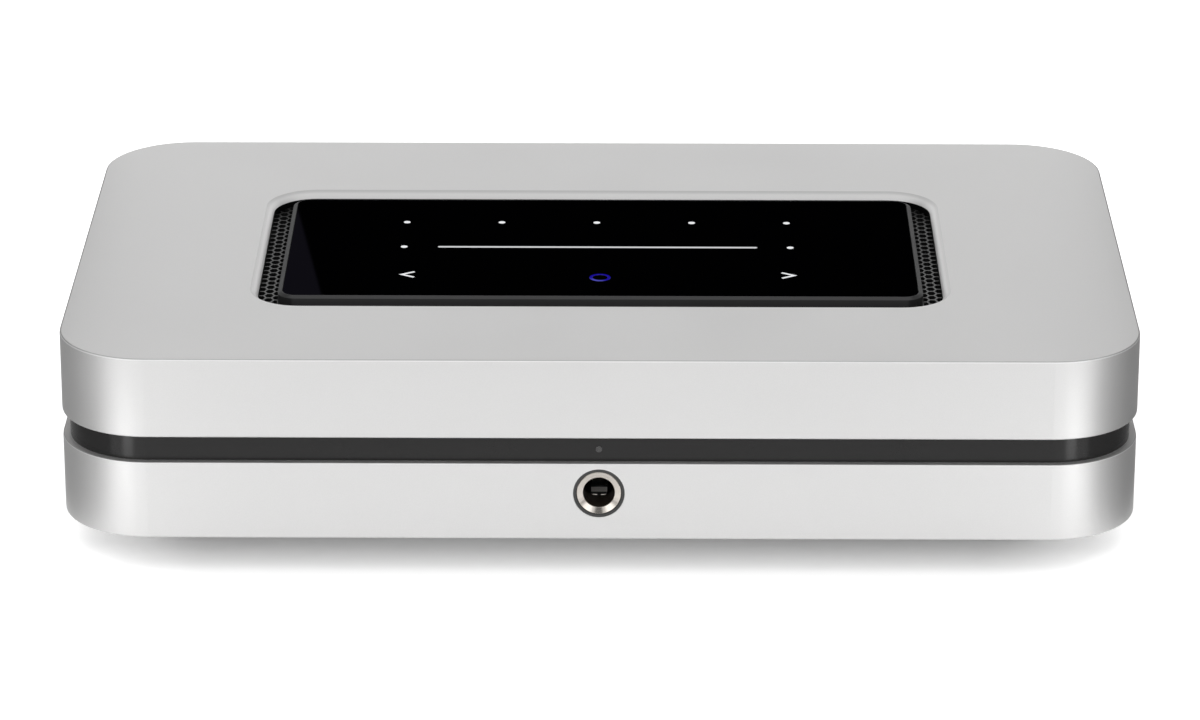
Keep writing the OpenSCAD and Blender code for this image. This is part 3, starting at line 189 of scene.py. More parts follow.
def towards(n, direction, azimuth, height):
    """How closely a direction points at an azimuth, seen from the front, and a height, both in degrees."""
    turn = math.radians(azimuth)
    rise = math.radians(height)
    aim = (math.sin(turn) * math.cos(rise), -math.cos(turn) * math.cos(rise), math.sin(rise))
    return n.add("ShaderNodeVectorMath", {0: direction, 1: aim}, operation="DOT_PRODUCT").outputs["Value"]


def studio_light(n, direction, axis):
    """The strength of the soft light from each direction."""
    flat = n.math("SUBTRACT", 1.0, n.math("MULTIPLY", axis[2], axis[2]))
    level = n.math("SQRT", n.math("MAXIMUM", flat, LEAST_LEVEL))
    ahead = n.ramp(axis[2], *AHEAD_RAMP, AHEAD_LOW, AHEAD)
    behind = n.ramp(n.math("DIVIDE", axis[1], level), *BEHIND_RAMP, ahead, BEHIND)
    beside = n.ramp(n.math("DIVIDE", n.math("ABSOLUTE", axis[0]), level), *BESIDE_RAMP)
    low = n.between(beside, behind, BESIDE)
    light = n.between(n.ramp(axis[2], *ABOVE_RAMP), low, ABOVE)
    # Two lamps in front, and the dark of the camera between them
    for azimuth in (-FRONT_AZIMUTH, FRONT_AZIMUTH):
        lamp_aim = towards(n, direction, azimuth, FRONT_HEIGHT)
        light = n.math("ADD", light, n.ramp(lamp_aim, *FRONT_RAMP, 0.0, FRONT))
    camera_aim = towards(n, direction, 0, SHADE_HEIGHT)
    return n.math("MULTIPLY", light, n.ramp(camera_aim, *SHADE_RAMP, 1.0, SHADE))


def dark_screen(n, axis):
    """A small dark screen behind the object, which the polished panel mirrors: where it is, and its colour,
    with a faint sheen at its left."""
    across = n.math("DIVIDE", axis[0], n.math("MAXIMUM", axis[1], LEAST_DEPTH))
    wide = n.ramp(n.math("ABSOLUTE", across), SCREEN_HALF, SCREEN_HALF + SCREEN_EDGE, 1.0, 0.0)
    over = n.ramp(axis[2], SCREEN_LOW - SCREEN_EDGE, SCREEN_LOW)
    under = n.ramp(axis[2], SCREEN_HIGH, SCREEN_HIGH + SCREEN_EDGE, 1.0, 0.0)
    slope = n.math("SUBTRACT", across, n.math("MULTIPLY", axis[2], SHEEN_LEAN))
    left = n.ramp(slope, *SHEEN_END, 1.0, 0.0)
    return n.math("MULTIPLY", wide, n.math("MULTIPLY", over, under)), n.mix(left, BLACK, SHEEN)


def make_world():
    world = bpy.data.worlds.new("studio")
    bpy.context.scene.world = world
    world.use_nodes = True
    n = Nodes(world.node_tree)
    direction = n.add("ShaderNodeTexCoord").outputs["Generated"]
    axis = n.axes(direction)
    path = n.add("ShaderNodeLightPath").outputs
    # Polished faces see a share of the white backdrop, and the camera sees nothing else
    share = n.math("MULTIPLY", path["Is Glossy Ray"], BACKDROP_GLOSS)
    light = n.between(share, studio_light(n, direction, axis), 1.0)
    screen_place, screen_colour = dark_screen(n, axis)
    colour = n.mix(screen_place, n.grey(light), screen_colour)
    seen = n.math("ADD", path["Is Camera Ray"], path["Is Transmission Ray"], clamp=True)
    colour = n.mix(seen, colour, WHITE)
    background = n.add("ShaderNodeBackground", {"Color": colour, "Strength": 1.0})
    n.add("ShaderNodeOutputWorld", {"Surface": background.outputs[0]})


# Floor, in metres: pale paper, with a white glow for the camera that leaves the object's shadow
FLOOR_COLOUR, FLOOR_FAR = 0.88, 0.66
FLOOR_FADE = (-0.115, -0.165)
# The glow is painted light on the floor: weakest under the object's front, so the shadow shows darker
# there, and stronger further in front and at the sides, where it washes the shadow out
GLOW_UNDER, GLOW_NEAR, GLOW_FAR = 0.18, 0.32, 0.50
GLOW_NEAR_Y = (-0.057, -0.068)
GLOW_SIDE, GLOW_SIDE_X = 0.30, (0.078, 0.112)
FLOOR_GLOSS = 0.15
FLOOR_HALF, FLOOR_Z = 12.0, -0.00005
FIBRE_SCALE, FIBRE_DETAIL, FIBRE_TONES = 900.0, 4.0, (0.99, 1.01)


def flat_corners(half, front, back, height):
    return [(-half, front, height), (half, front, height), (half, back, height), (-half, back, height)]


def upright_corners(start, end, top):
    return [(*start, 0.0), (*end, 0.0), (*end, top), (*start, top)]


def staged_sheet(name, corners, material):
    """One flat face of the studio, which isn't part of the object."""
    mesh = bpy.data.meshes.new(name)
    mesh.from_pydata(corners, [], [(0, 1, 2, 3)])
    mesh.materials.append(material)
    sheet = bpy.data.objects.new(name, mesh)
    bpy.context.scene.collection.objects.link(sheet)
    return sheet


def make_floor():
    material, n = new_material("floor_paper")
    place = n.place()
    axis = n.axes(place)
    fibre = n.ramp(n.noise(place, FIBRE_SCALE, FIBRE_DETAIL), *SPECK_RANGE, *FIBRE_TONES)
    shade = n.math("MULTIPLY", n.ramp(axis[1], *FLOOR_FADE, FLOOR_COLOUR, FLOOR_FAR), fibre)
    paper = n.add("ShaderNodeBsdfDiffuse", {"Color": shade}).outputs[0]
    path = n.add("ShaderNodeLightPath").outputs
    seen = n.math("ADD", path["Is Camera Ray"], path["Is Transmission Ray"])
    seen = n.math("MULTIPLY_ADD", path["Is Glossy Ray"], FLOOR_GLOSS, seen, clamp=True)
    # Painted light: the glow grows away from the object's front and towards its sides
    near = n.ramp(axis[1], *GLOW_NEAR_Y, GLOW_UNDER, GLOW_NEAR)
    side = n.ramp(n.math("ABSOLUTE", axis[0]), *GLOW_SIDE_X, 0.0, GLOW_SIDE)
    bright = n.math("ADD", n.ramp(axis[1], *FLOOR_FADE, near, GLOW_FAR), side)
    glow = n.add("ShaderNodeEmission", {"Strength": n.math("MULTIPLY", seen, bright)}).outputs[0]
    lit = n.add("ShaderNodeAddShader", {0: paper, 1: glow}).outputs[0]
    clear = n.add("ShaderNodeBsdfTransparent").outputs[0]
    n.finish(n.add("ShaderNodeMixShader", {0: n.backfacing(), 1: lit, 2: clear}).outputs[0])
    staged_sheet("floor", flat_corners(FLOOR_HALF, -FLOOR_HALF, FLOOR_HALF, FLOOR_Z), material)


# Cards beside, above and under the object, in metres
CARD_X, CARD_FRONT, CARD_BACK, CARD_TOP = 0.122, -0.085, 0.110, 0.075
CARD_FADE = (-0.083, -0.055)
LEFT_GREY, RIGHT_GREY = (0.50, 0.27), (0.46, 0.19)
CORNER_X, CORNER_Y, CORNER_TURN = 0.125, -0.120, 31
CORNER_HALF, CORNER_TOP, CORNER_GREY = 0.008, 0.014, 3.2
ROOF_Z, ROOF_HALF, ROOF_FRONT, ROOF_BACK = 0.60, 0.60, -0.90, 0.75
ROOF_FADE = (0.22, 0.40)
ROOF_GREY = (0.74, 0.46)
UNDER_X, UNDER_Y, UNDER_Z, UNDER_GREY = 0.088, 0.052, -0.00003, 0.9
FELT_SCALE, FELT_DETAIL, FELT_TONES = 700.0, 3.0, (0.95, 1.05)


def make_card(name, corners, grey, fade=CARD_FADE, lights=False):
    """One card, which goes from the first grey to the second between two lines across it.
    Shiny faces alone see it, unless it lights the object, and then only what is above it."""
    material, n = new_material(name)
    place = n.place()
    felt = n.ramp(n.noise(place, FELT_SCALE, FELT_DETAIL), *SPECK_RANGE, *FELT_TONES)
    shade = n.math("MULTIPLY", n.ramp(n.axes(place)[1], *fade, *grey), felt)
    glow = n.add("ShaderNodeEmission", {"Color": shade}).outputs[0]
    if lights:
        clear = n.add("ShaderNodeBsdfTransparent").outputs[0]
        glow = n.add("ShaderNodeMixShader", {0: n.backfacing(), 1: glow, 2: clear}).outputs[0]
    n.finish(glow)
    card = staged_sheet(name, corners, material)
    card.visible_camera = False
    card.visible_diffuse = lights
    card.visible_shadow = False
    card.visible_transmission = False


def make_cards():
    for name, x, grey in (("card_left", -CARD_X, LEFT_GREY), ("card_right", CARD_X, RIGHT_GREY)):
        make_card(name, upright_corners((x, CARD_FRONT), (x, CARD_BACK), CARD_TOP), grey)
    run = CORNER_HALF * math.cos(math.radians(CORNER_TURN))
    rise = CORNER_HALF * math.sin(math.radians(CORNER_TURN))
    for name, side in (("card_corner_left", -1), ("card_corner_right", 1)):
        near = (side * (CORNER_X - run), CORNER_Y - rise)
        far = (side * (CORNER_X + run), CORNER_Y + rise)
        make_card(name, upright_corners(near, far, CORNER_TOP), (CORNER_GREY, CORNER_GREY))
    under = flat_corners(UNDER_X, -UNDER_Y, UNDER_Y, UNDER_Z)
    make_card("card_under", under, (UNDER_GREY, UNDER_GREY), lights=True)
    make_card("card_roof", flat_corners(ROOF_HALF, ROOF_FRONT, ROOF_BACK, ROOF_Z), ROOF_GREY, ROOF_FADE)


# Materials: sizes and places in mm, and slopes as a part of the surface normal
made = {}
panel_low, panel_high = (Vector(v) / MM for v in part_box("touch_glass"))
panel_middle = ((panel_low.x + panel_high.x) / 2, (panel_low.y + panel_high.y) / 2)
GLASS_BELOW, MARK_BELOW = 0.05, 0.01
GLASS_TOP = panel_high.z - GLASS_BELOW
MARK_TOP = panel_high.z - MARK_BELOW
FINE_DETAIL, BROAD_DETAIL = 3.0, 2.0
BEVEL_SAMPLES = 4


def surface(name, colour, rough, metallic=0.0, grain=0.25, spread=0.08, rough_spread=0.06, bump=0.0,
            patch=8.0, patch_spread=0.03, level=0.5, coat=0.0, pattern=None, round_mm=0.0):
    """A surface whose colour, roughness and relief vary with a fine grain and a broader unevenness.
    grain and patch are sizes in mm; pattern changes the colour or relief in a way of its own."""
    material, n = new_material(name)
    place = n.place()
    fine = n.noise(place, 1.0 / (grain * MM), FINE_DETAIL)
    broad = n.noise(place, 1.0 / (patch * MM), BROAD_DETAIL)
    tint = n.mix(n.ramp(fine, *NOISE_RANGE), rgba(colour, 1 - spread), rgba(colour, 1 + spread))
    tint = n.shaded(tint, n.ramp(broad, *NOISE_RANGE, 1 - patch_spread, 1 + patch_spread))
    fine_rough = n.ramp(fine, *NOISE_RANGE, rough - rough_spread, rough + rough_spread)
    broad_rough = n.ramp(broad, *NOISE_RANGE, -rough_spread / 2, rough_spread / 2)
    roughness = n.math("ADD", fine_rough, broad_rough, clamp=True)
    height = fine
    if pattern:
        tint, height = pattern(n, place, tint, height)
    shader = n.add("ShaderNodeBsdfPrincipled", {
        "Base Color": tint, "Roughness": roughness, "Metallic": metallic,
        "Specular IOR Level": level, "Coat Weight": coat,
    })
    normal = None
    if round_mm:
        normal = n.add("ShaderNodeBevel", {"Radius": round_mm * MM}, samples=BEVEL_SAMPLES).outputs[0]
    if bump:
        relief = n.add("ShaderNodeBump", {"Strength": 1.0, "Distance": bump * MM, "Height": height})
        if normal:
            n.put(relief.inputs["Normal"], normal)
        normal = relief.outputs[0]
    if normal:
        n.put(shader.inputs["Normal"], normal)
    n.finish(shader.outputs[0])
    made[name] = material


MARK_SPECK, MARK_DETAIL, MARK_DIM = 2500.0, 2.0, 0.9
MARK_UNLIT, MARK_ROUGH = 0.02, 0.02
BRIGHT_CORE = 0.3


def lamp(name, colour, strength, bright=None, aim=(0.0, 0.0), reach=1.0):
    """A lit mark, a little uneven like a printed diffuser, and brighter within reach of aim, both in mm."""
    material, n = new_material(name)
    place = n.place()
    speck = n.noise(place, MARK_SPECK, MARK_DETAIL)
    tint = n.mix(n.ramp(speck, *SPECK_RANGE), rgba(colour, MARK_DIM), rgba(colour))
    if bright:
        spot = (aim[0] * MM, aim[1] * MM, GLASS_TOP * MM)
        off = n.add("ShaderNodeVectorMath", {0: place, 1: spot}, operation="DISTANCE").outputs["Value"]
        tint = n.mix(n.ramp(off, BRIGHT_CORE * reach * MM, reach * MM, 1.0, 0.0), tint, rgba(bright))
    shader = n.add("ShaderNodeBsdfPrincipled", {
        "Base Color": rgba(colour, MARK_UNLIT), "Roughness": MARK_ROUGH,
        "Emission Color": tint, "Emission Strength": strength,
    })
    n.finish(shader.outputs[0])
    made[name] = material


# Patterns, each of which takes and gives back a surface's colour and relief
# The mesh's painted shade in its holes and near the back of the recess, and the painted light that makes
# its upper face grey
MESH_HOLE_SHADE = (0.005, 0.005, 0.005, 1.0)
MESH_LIT_UP = (0.4, 0.9)
MESH_LIT_FADE_Y, MESH_LIT_FADE = (-35, 5), 0.6
MESH_SHADOW_Y, MESH_SHADOW = (12, 25), 0.04


def mesh_painted_shade(n, place, tint, height):
    """Black painted shade inside the holes and a painted shadow near the back of the recess; painted light
    turns the upper face grey, fading towards the back.
    """
    up = n.axes(n.normal())[2]
    along = n.axes(place)[1]
    lit_fade = n.ramp(along, MESH_LIT_FADE_Y[0] * MM, MESH_LIT_FADE_Y[1] * MM, 1.0, MESH_LIT_FADE)
    dark = n.ramp(along, MESH_SHADOW_Y[0] * MM, MESH_SHADOW_Y[1] * MM, 1.0, MESH_SHADOW)
    lit_face = n.math("MULTIPLY", n.ramp(up, *MESH_LIT_UP), n.math("MULTIPLY", lit_fade, dark))
    return n.mix(lit_face, MESH_HOLE_SHADE, tint), height


def bands(axis, period, dark):
    """Stripes across an axis, period in mm, whose grooves go down to the tone dark, which is painted shade
    in the grooves.
    """
    def pattern(n, place, tint, height):
        turn = n.math("MULTIPLY", n.axes(place)[axis], 2 * math.pi / (period * MM))
        wave = n.ramp(n.math("SINE", turn), -1.0, 1.0)
        return n.shaded(tint, n.ramp(wave, 0.0, 1.0, dark, 1.0)), n.math("ADD", height, wave)
    return pattern


TRACK_LONG, TRACK_PITCH, TRACK_WIDE = 5.5, 1.3, 0.12
TRACK_DARK = 0.7


def tracks(n, place, tint, height):
    """Printed tracks of a circuit board: thin raised lines in a grid of uneven cells."""
    grid = n.add("ShaderNodeTexBrick", {
        "Vector": place, "Scale": 1.0 / MM, "Mortar Size": TRACK_WIDE, "Brick Width": TRACK_LONG,
        "Row Height": TRACK_PITCH, "Color1": BLACK, "Color2": BLACK, "Mortar": WHITE,
    })
    line = grid.outputs["Fac"]
    return n.shaded(tint, n.ramp(line, 0.0, 1.0, TRACK_DARK, 1.0)), n.math("ADD", height, line)


FOOT_R = 8.0
# The tone in the rings' grooves is painted shade
FOOT_RING, FOOT_GROOVE_SHADE, FOOT_WAVE = 1.6, 0.75, (-0.5, 0.5)


def foot_rings(n, place, tint, height):
    """Moulded rings round the middle of each foot, which are the foot's whole relief, with painted shade in
    their grooves.
    """
    axis = n.axes(place)
    low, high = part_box("rubber_feet")
    middle = (low.y + high.y) / 2
    radius = FOOT_R * MM
    off_x = n.math("SUBTRACT", n.math("ABSOLUTE", axis[0]), high.x - radius)
    off_y = n.math("ABSOLUTE", n.math("SUBTRACT", axis[1], middle))
    off_y = n.math("SUBTRACT", off_y, high.y - radius - middle)
    squares = n.math("ADD", n.math("MULTIPLY", off_x, off_x), n.math("MULTIPLY", off_y, off_y))
    turn = n.math("MULTIPLY", n.math("SQRT", squares), 2 * math.pi / (FOOT_RING * MM))
    wave = n.ramp(n.math("SINE", turn), *FOOT_WAVE)
    return n.shaded(tint, n.ramp(wave, 0.0, 1.0, FOOT_GROOVE_SHADE, 1.0)), wave


# Painted shade on the headphone socket's springs, which leaves a patch and the back at the metal's own
# colour
UNSHADED_LOW, UNSHADED_HIGH, UNSHADED_EDGE = 14.38, 15.05, 0.1
SHADE_END_Y, SPRING_SHADE = (-62.5, -61.5), 0.05


def spring_painted_shade(n, place, tint, height):
    """Darkened by painted shade at the front, apart from a patch on the front spring's rise, which is left
    at the metal's own colour.
    """
    axis = n.axes(place)
    above = n.ramp(axis[2], UNSHADED_LOW * MM, (UNSHADED_LOW + UNSHADED_EDGE) * MM)
    below = n.ramp(axis[2], UNSHADED_HIGH * MM, (UNSHADED_HIGH + UNSHADED_EDGE) * MM, 1.0, 0.0)
    back = n.ramp(axis[1], SHADE_END_Y[0] * MM, SHADE_END_Y[1] * MM)
    bright = n.math("MAXIMUM", n.math("MULTIPLY", above, below), back)
    return n.shaded(tint, n.ramp(bright, 0.0, 1.0, SPRING_SHADE, 1.0)), height


# Painted shade on the slopes at the bezel's two ends
BEZEL_SLOPE, BEZEL_SHADE = (0.08, 0.28), 0.45


def bezel_painted_shade(n, place, tint, height):
    """The bezel's paint, darker with painted shade on the slopes at its two ends."""
    across = n.math("ABSOLUTE", n.axes(n.normal())[0])
    return n.shaded(tint, n.ramp(across, *BEZEL_SLOPE, 1.0, BEZEL_SHADE)), height


# Painted light on the shell: highlights and shade lines on its rounded edges, and painted shade at the foot
# of the recess
RECESS_HALF = (73.0, 36.7)
RECESS_FOOT_SHADE_Z, RECESS_FOOT_SHADE = (44.38, 44.50), (0.012, 0.012, 0.012, 1.0)
EDGE_HIGHLIGHT, EDGE_HIGHLIGHT_UP = 1.30, (0.10, 0.25)
EDGE_SHADE, EDGE_SHADE_UP = 0.72, (0.60, 0.80)
RIM_SHADE, RIM_UP = 0.80, (0.72, 0.89)
FLAT_UP = (0.975, 0.995)


def shell_painted_light(n, place, tint, height):
    """A painted highlight along the lower part of each outer rounded edge with a line of painted shade
    above it, a line of painted shade along the recess's rim, and black painted shade on the recess's foot.
    """
    axis = n.axes(place)
    up = n.axes(n.normal())[2]
    within = []
    for index in (0, 1):
        off = n.math("ABSOLUTE", n.math("SUBTRACT", axis[index], panel_middle[index] * MM))
        within.append(n.math("LESS_THAN", off, RECESS_HALF[index] * MM))
    inside = n.math("MULTIPLY", *within)
    outer = n.ramp(up, *EDGE_SHADE_UP, n.ramp(up, *EDGE_HIGHLIGHT_UP, 1.0, EDGE_HIGHLIGHT), EDGE_SHADE)
    rim = n.ramp(up, *RIM_UP, 1.0, RIM_SHADE)
    edge = n.between(inside, outer, rim)
    tint = n.shaded(tint, n.between(n.ramp(up, *FLAT_UP), edge, 1.0))
    foot = n.ramp(axis[2], RECESS_FOOT_SHADE_Z[0] * MM, RECESS_FOOT_SHADE_Z[1] * MM, 1.0, 0.0)
    return n.mix(n.math("MULTIPLY", inside, foot), tint, RECESS_FOOT_SHADE), height


def make_case_materials():
    surface("shell_aluminium", (0.780, 0.777, 0.774), 0.48, 1.0, grain=0.12, spread=0.03, rough_spread=0.05,
            bump=0.004, patch=30, patch_spread=0.005, pattern=shell_painted_light)
    surface("band_plastic", (0.0115, 0.011, 0.011), 0.19, grain=0.15, rough_spread=0.04, bump=0.002,
            level=0.37)
    surface("base_plastic", (0.042, 0.042, 0.043), 0.55, grain=0.3, bump=0.02)
    surface("foot_rubber", (0.022, 0.022, 0.022), 0.75, grain=0.2, bump=0.06, pattern=foot_rings)
    surface("rear_plastic", (0.020, 0.020, 0.021), 0.50, grain=0.3, bump=0.02)
    surface("black_screw", (0.05, 0.05, 0.052), 0.35, 0.9, grain=0.15, bump=0.006, round_mm=0.12)
    surface("zinc_screw", (0.62, 0.63, 0.65), 0.30, 1.0, grain=0.15, bump=0.004, round_mm=0.12)
    surface("mesh_black", (0.11, 0.11, 0.11), 0.55, level=0.3, grain=0.1, bump=0.003, pattern=mesh_painted_shade)
    surface("lens_smoke", (0.065, 0.064, 0.064), 0.25, grain=0.2)


def make_panel_materials():
    surface("panel_glass", (0.0003, 0.0003, 0.0004), 0.012, grain=0.4, spread=0.05, rough_spread=0.004,
            patch=20)
    surface("bezel_paint", (0.036, 0.036, 0.037), 0.45, grain=0.1, rough_spread=0.03, level=0.2,
            pattern=bezel_painted_shade)
    surface("light_guide_clear", (0.80, 0.82, 0.84), 0.35, grain=0.2, bump=0.005)
    surface("led_resin", (0.90, 0.86, 0.70), 0.30, grain=0.1)
    lamp("mark_white", (0.90, 0.91, 0.93), 0.95)
    lamp("mark_line", (0.90, 0.91, 0.93), 0.72)
    lamp("mark_blue", (0.010, 0.005, 0.29), 1.0, bright=(0.065, 0.065, 0.42), aim=(-0.9, -26.2), reach=2.2)


def make_socket_materials():
    surface("socket_black", (0.021, 0.0145, 0.010), 0.42, grain=0.2, bump=0.006, round_mm=0.12)
    surface("nickel", (0.68, 0.635, 0.585), 0.13, 1.0, grain=0.1, spread=0.03, rough_spread=0.04,
            round_mm=0.08)
    surface("trim_dark", (0.045, 0.045, 0.045), 0.40, grain=0.12, bump=0.004, round_mm=0.1)
    surface("spring_metal", (0.86, 0.84, 0.80), 0.55, 0.3, grain=0.2, bump=0.003, pattern=spring_painted_shade)
    surface("pin_metal", (0.66, 0.67, 0.68), 0.20, 1.0, grain=0.15, round_mm=0.1)
    surface("contact_gold", (0.80, 0.59, 0.24), 0.20, 1.0, grain=0.12, spread=0.04, round_mm=0.1)
    surface("shield_tin", (0.62, 0.63, 0.64), 0.28, 1.0, grain=0.15, bump=0.003, round_mm=0.12)
    surface("insulator_white", (0.80, 0.80, 0.79), 0.30, grain=0.2, round_mm=0.1)
    surface("insulator_red", (0.45, 0.02, 0.025), 0.30, grain=0.2, round_mm=0.1)
    surface("insulator_black", (0.02, 0.02, 0.021), 0.30, grain=0.2, round_mm=0.1)
    surface("shutter_black", (0.03, 0.03, 0.033), 0.42, grain=0.2, bump=0.006, round_mm=0.1)
    surface("window_green", (0.12, 0.30, 0.14), 0.22, grain=0.1, coat=0.3)
    surface("window_amber", (0.42, 0.24, 0.06), 0.22, grain=0.1, coat=0.3)


def make_inner_materials():
    surface("ribbon_film", (0.70, 0.66, 0.55), 0.40, grain=0.2, pattern=bands(0, 1.0, 0.55))
    surface("connector_ivory", (0.75, 0.70, 0.58), 0.45, grain=0.2)
    surface("chip_black", (0.022, 0.022, 0.023), 0.50, grain=0.15, bump=0.008)
    surface("heatsink_black", (0.05, 0.05, 0.055), 0.40, 0.8, grain=0.12, bump=0.004,
            pattern=bands(1, 0.4, 0.8))
    surface("capacitor_sleeve", (0.03, 0.045, 0.09), 0.25, grain=0.3, bump=0.01, pattern=bands(2, 5.0, 0.7))
    surface("antenna_film", (0.02, 0.02, 0.022), 0.45, grain=0.2)
    surface("cable_black", (0.03, 0.03, 0.032), 0.50, grain=0.2, bump=0.006)
    surface("transformer_tape", (0.55, 0.40, 0.08), 0.35, grain=0.4, bump=0.02, pattern=bands(2, 2.5, 0.75))
    surface("choke_copper", (0.55, 0.25, 0.10), 0.28, 0.9, grain=0.4, bump=0.05, pattern=bands(0, 0.7, 0.4))
    surface("fuse_ceramic", (0.75, 0.75, 0.76), 0.30, grain=0.2)
    surface("wire_red", (0.45, 0.03, 0.025), 0.40, grain=0.2)
    surface("board_green", (0.02, 0.13, 0.06), 0.35, grain=0.3, bump=0.01, pattern=tracks)
    surface("board_tan", (0.28, 0.19, 0.07), 0.45, grain=0.3, bump=0.01, pattern=tracks)


def dress_nodes():
    """Gives each CAD node the material of its slot."""
    for part in frame["record"]["subparts"]:
        materials = nodes[part["node"]].data.materials
        materials.clear()
        materials.append(made[part["material_slot"]])


# New pieces, in mm
SHARP_ANGLE = math.radians(35)


def rounded(width, depth, radius, steps=10, centre=(0.0, 0.0)):
    """Points of a rounded rectangle, counterclockwise."""
    points = []
    for turn, (sx, sy) in enumerate(((1, 1), (-1, 1), (-1, -1), (1, -1))):
        cx = centre[0] + sx * (width / 2 - radius)
        cy = centre[1] + sy * (depth / 2 - radius)
        for i in range(steps + 1):
            angle = math.pi / 2 * (turn + i / steps)
            points.append((cx + radius * math.cos(angle), cy + radius * math.sin(angle)))
    return points


def disc(centre, radius, count=28):
    """Points of a circle."""
    angles = [2 * math.pi * i / count for i in range(count)]
    return [(centre[0] + radius * math.cos(a), centre[1] + radius * math.sin(a)) for a in angles]


def raised(outline, height):
    return [(x, y, height) for x, y in outline]


def loft(bm, rings, caps=True):
    """Joins rings of points, each with the same count, and closes the two ends."""
    rows = [[bm.verts.new(Vector(p) * MM) for p in ring] for ring in rings]
    for a, b in zip(rows, rows[1:]):
        for i in range(len(a)):
            j = (i + 1) % len(a)
            bm.faces.new((a[i], a[j], b[j], b[i]))
    if caps:
        for end in (bm.faces.new(rows[0][::-1]), bm.faces.new(rows[-1])):
            for edge in end.edges:
                edge.smooth = False


def piece(name, build, material, body="case"):
    """Makes a piece with smooth faces and sharp edges, which rides on a body."""
    bm = bmesh.new()
    build(bm)
    bmesh.ops.recalc_face_normals(bm, faces=bm.faces)
    for edge in bm.edges:
        if edge.calc_face_angle(0.0) > SHARP_ANGLE:
            edge.smooth = False
    mesh = bpy.data.meshes.new(name)
    bm.to_mesh(mesh)
    bm.free()
    mesh.polygons.foreach_set("use_smooth", [True] * len(mesh.polygons))
    mesh.materials.append(made[material])
    made_piece = bpy.data.objects.new(name, mesh)
    bpy.context.scene.collection.objects.link(made_piece)
    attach(made_piece, body)
    return made_piece


# Touch panel: the glass, and the marks printed on it
PANEL_CORNER, PANEL_STEPS = 2.84, 12
PANEL_EDGE = ((0.0, 0.08), (0.02, 0.03), (0.07, 0.0))
MARK_SUNK, MARK_EDGE, MARK_INSET = 0.02, 0.015, 0.04
DOT_R = 0.72
PRESETS, PRESET_X, PRESET_Y, PRESET_PITCH = 5, -1.05, 10.15, 20.4
VOLUME_X, VOLUME_Y, VOLUME_REACH = -0.85, -5.5, 41.0
LINE_X, LINE_LONG, LINE_WIDE, LINE_ROUND, LINE_STEPS = -0.78, 67.8, 0.84, 0.40, 8
ARROW_X, ARROW_Y, ARROW_REACH = -0.55, -22.7, 41.1
ARROW_LONG, ARROW_HALF, ARROW_STROKE, ARROW_INSET = 2.6, 1.65, 0.62, 0.06
RING_CENTRE, RING_IN, RING_OUT, RING_FLARE, RING_COUNT = (-0.12, -24.25), 1.60, 2.20, 0.02, 48
WELD = 1e-7


def glass(bm):
    size = panel_high - panel_low
    profile = [(0.0, panel_low.z)]
    profile += [(inset, GLASS_TOP - depth) for inset, depth in PANEL_EDGE]
    rings = []
    for inset, height in profile:
        corner = PANEL_CORNER - inset
        outline = rounded(size.x - 2 * inset, size.y - 2 * inset, corner, PANEL_STEPS, panel_middle)
        rings.append(raised(outline, height))
    loft(bm, rings)


def flat_mark(bm, outline, inset_outline):
    """A thin printed mark: an outline on the glass and a slightly smaller one as its top."""
    loft(bm, [raised(outline, GLASS_TOP - MARK_SUNK), raised(outline, MARK_TOP - MARK_EDGE),
              raised(inset_outline, MARK_TOP)])


def dot(bm, spot):
    flat_mark(bm, disc(spot, DOT_R), disc(spot, DOT_R - MARK_INSET))


def chevron(tip, stroke, side):
    """An arrowhead of two strokes; side is -1 for one that points left."""
    run = math.hypot(ARROW_LONG, ARROW_HALF)
    nx = stroke / 2 * ARROW_HALF / run
    ny = stroke / 2 * ARROW_LONG / run
    point = stroke / 2 * run / ARROW_HALF
    lower = [(-point, 0), (ARROW_LONG - nx, -ARROW_HALF - ny), (ARROW_LONG + nx, -ARROW_HALF + ny)]
    upper = [(point, 0), (ARROW_LONG + nx, ARROW_HALF - ny), (ARROW_LONG - nx, ARROW_HALF + ny)]
    return [(tip[0] - side * x, tip[1] + y) for x, y in lower + upper]


def presets(bm):
    for i in range(PRESETS):
        dot(bm, (PRESET_X + (i - (PRESETS - 1) / 2) * PRESET_PITCH, PRESET_Y))


def volume_ends(bm):
    for side in (-1, 1):
        dot(bm, (VOLUME_X + side * VOLUME_REACH, VOLUME_Y))


def volume_line(bm):
    outlines = []
    for inset in (0.0, MARK_INSET):
        size = (LINE_LONG - 2 * inset, LINE_WIDE - 2 * inset)
        outlines.append(rounded(*size, LINE_ROUND - inset, LINE_STEPS, (LINE_X, VOLUME_Y)))
    flat_mark(bm, *outlines)


def arrows(bm):
    for side in (-1, 1):
        tip = (ARROW_X + side * ARROW_REACH, ARROW_Y)
        flat_mark(bm, chevron(tip, ARROW_STROKE, side), chevron(tip, ARROW_STROKE - ARROW_INSET, side))


def play_ring(bm):
    base = GLASS_TOP - MARK_SUNK
    inner = [(RING_IN - RING_FLARE, base), (RING_IN, MARK_TOP)]
    outer = [(RING_OUT, MARK_TOP), (RING_OUT + RING_FLARE, base)]
    rows = [raised(disc(RING_CENTRE, radius, RING_COUNT), height) for radius, height in inner + outer]
    loft(bm, rows + rows[:1], caps=False)
    bmesh.ops.remove_doubles(bm, verts=bm.verts, dist=WELD)


def make_panel():
    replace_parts(piece("panel_glass", glass, "panel_glass"), "touch_glass")
    piece("preset_marks", presets, "mark_white")
    piece("volume_marks", volume_ends, "mark_white")
    piece("volume_line", volume_line, "mark_line")
    piece("track_marks", arrows, "mark_white")
    piece("play_ring", play_ring, "mark_blue")


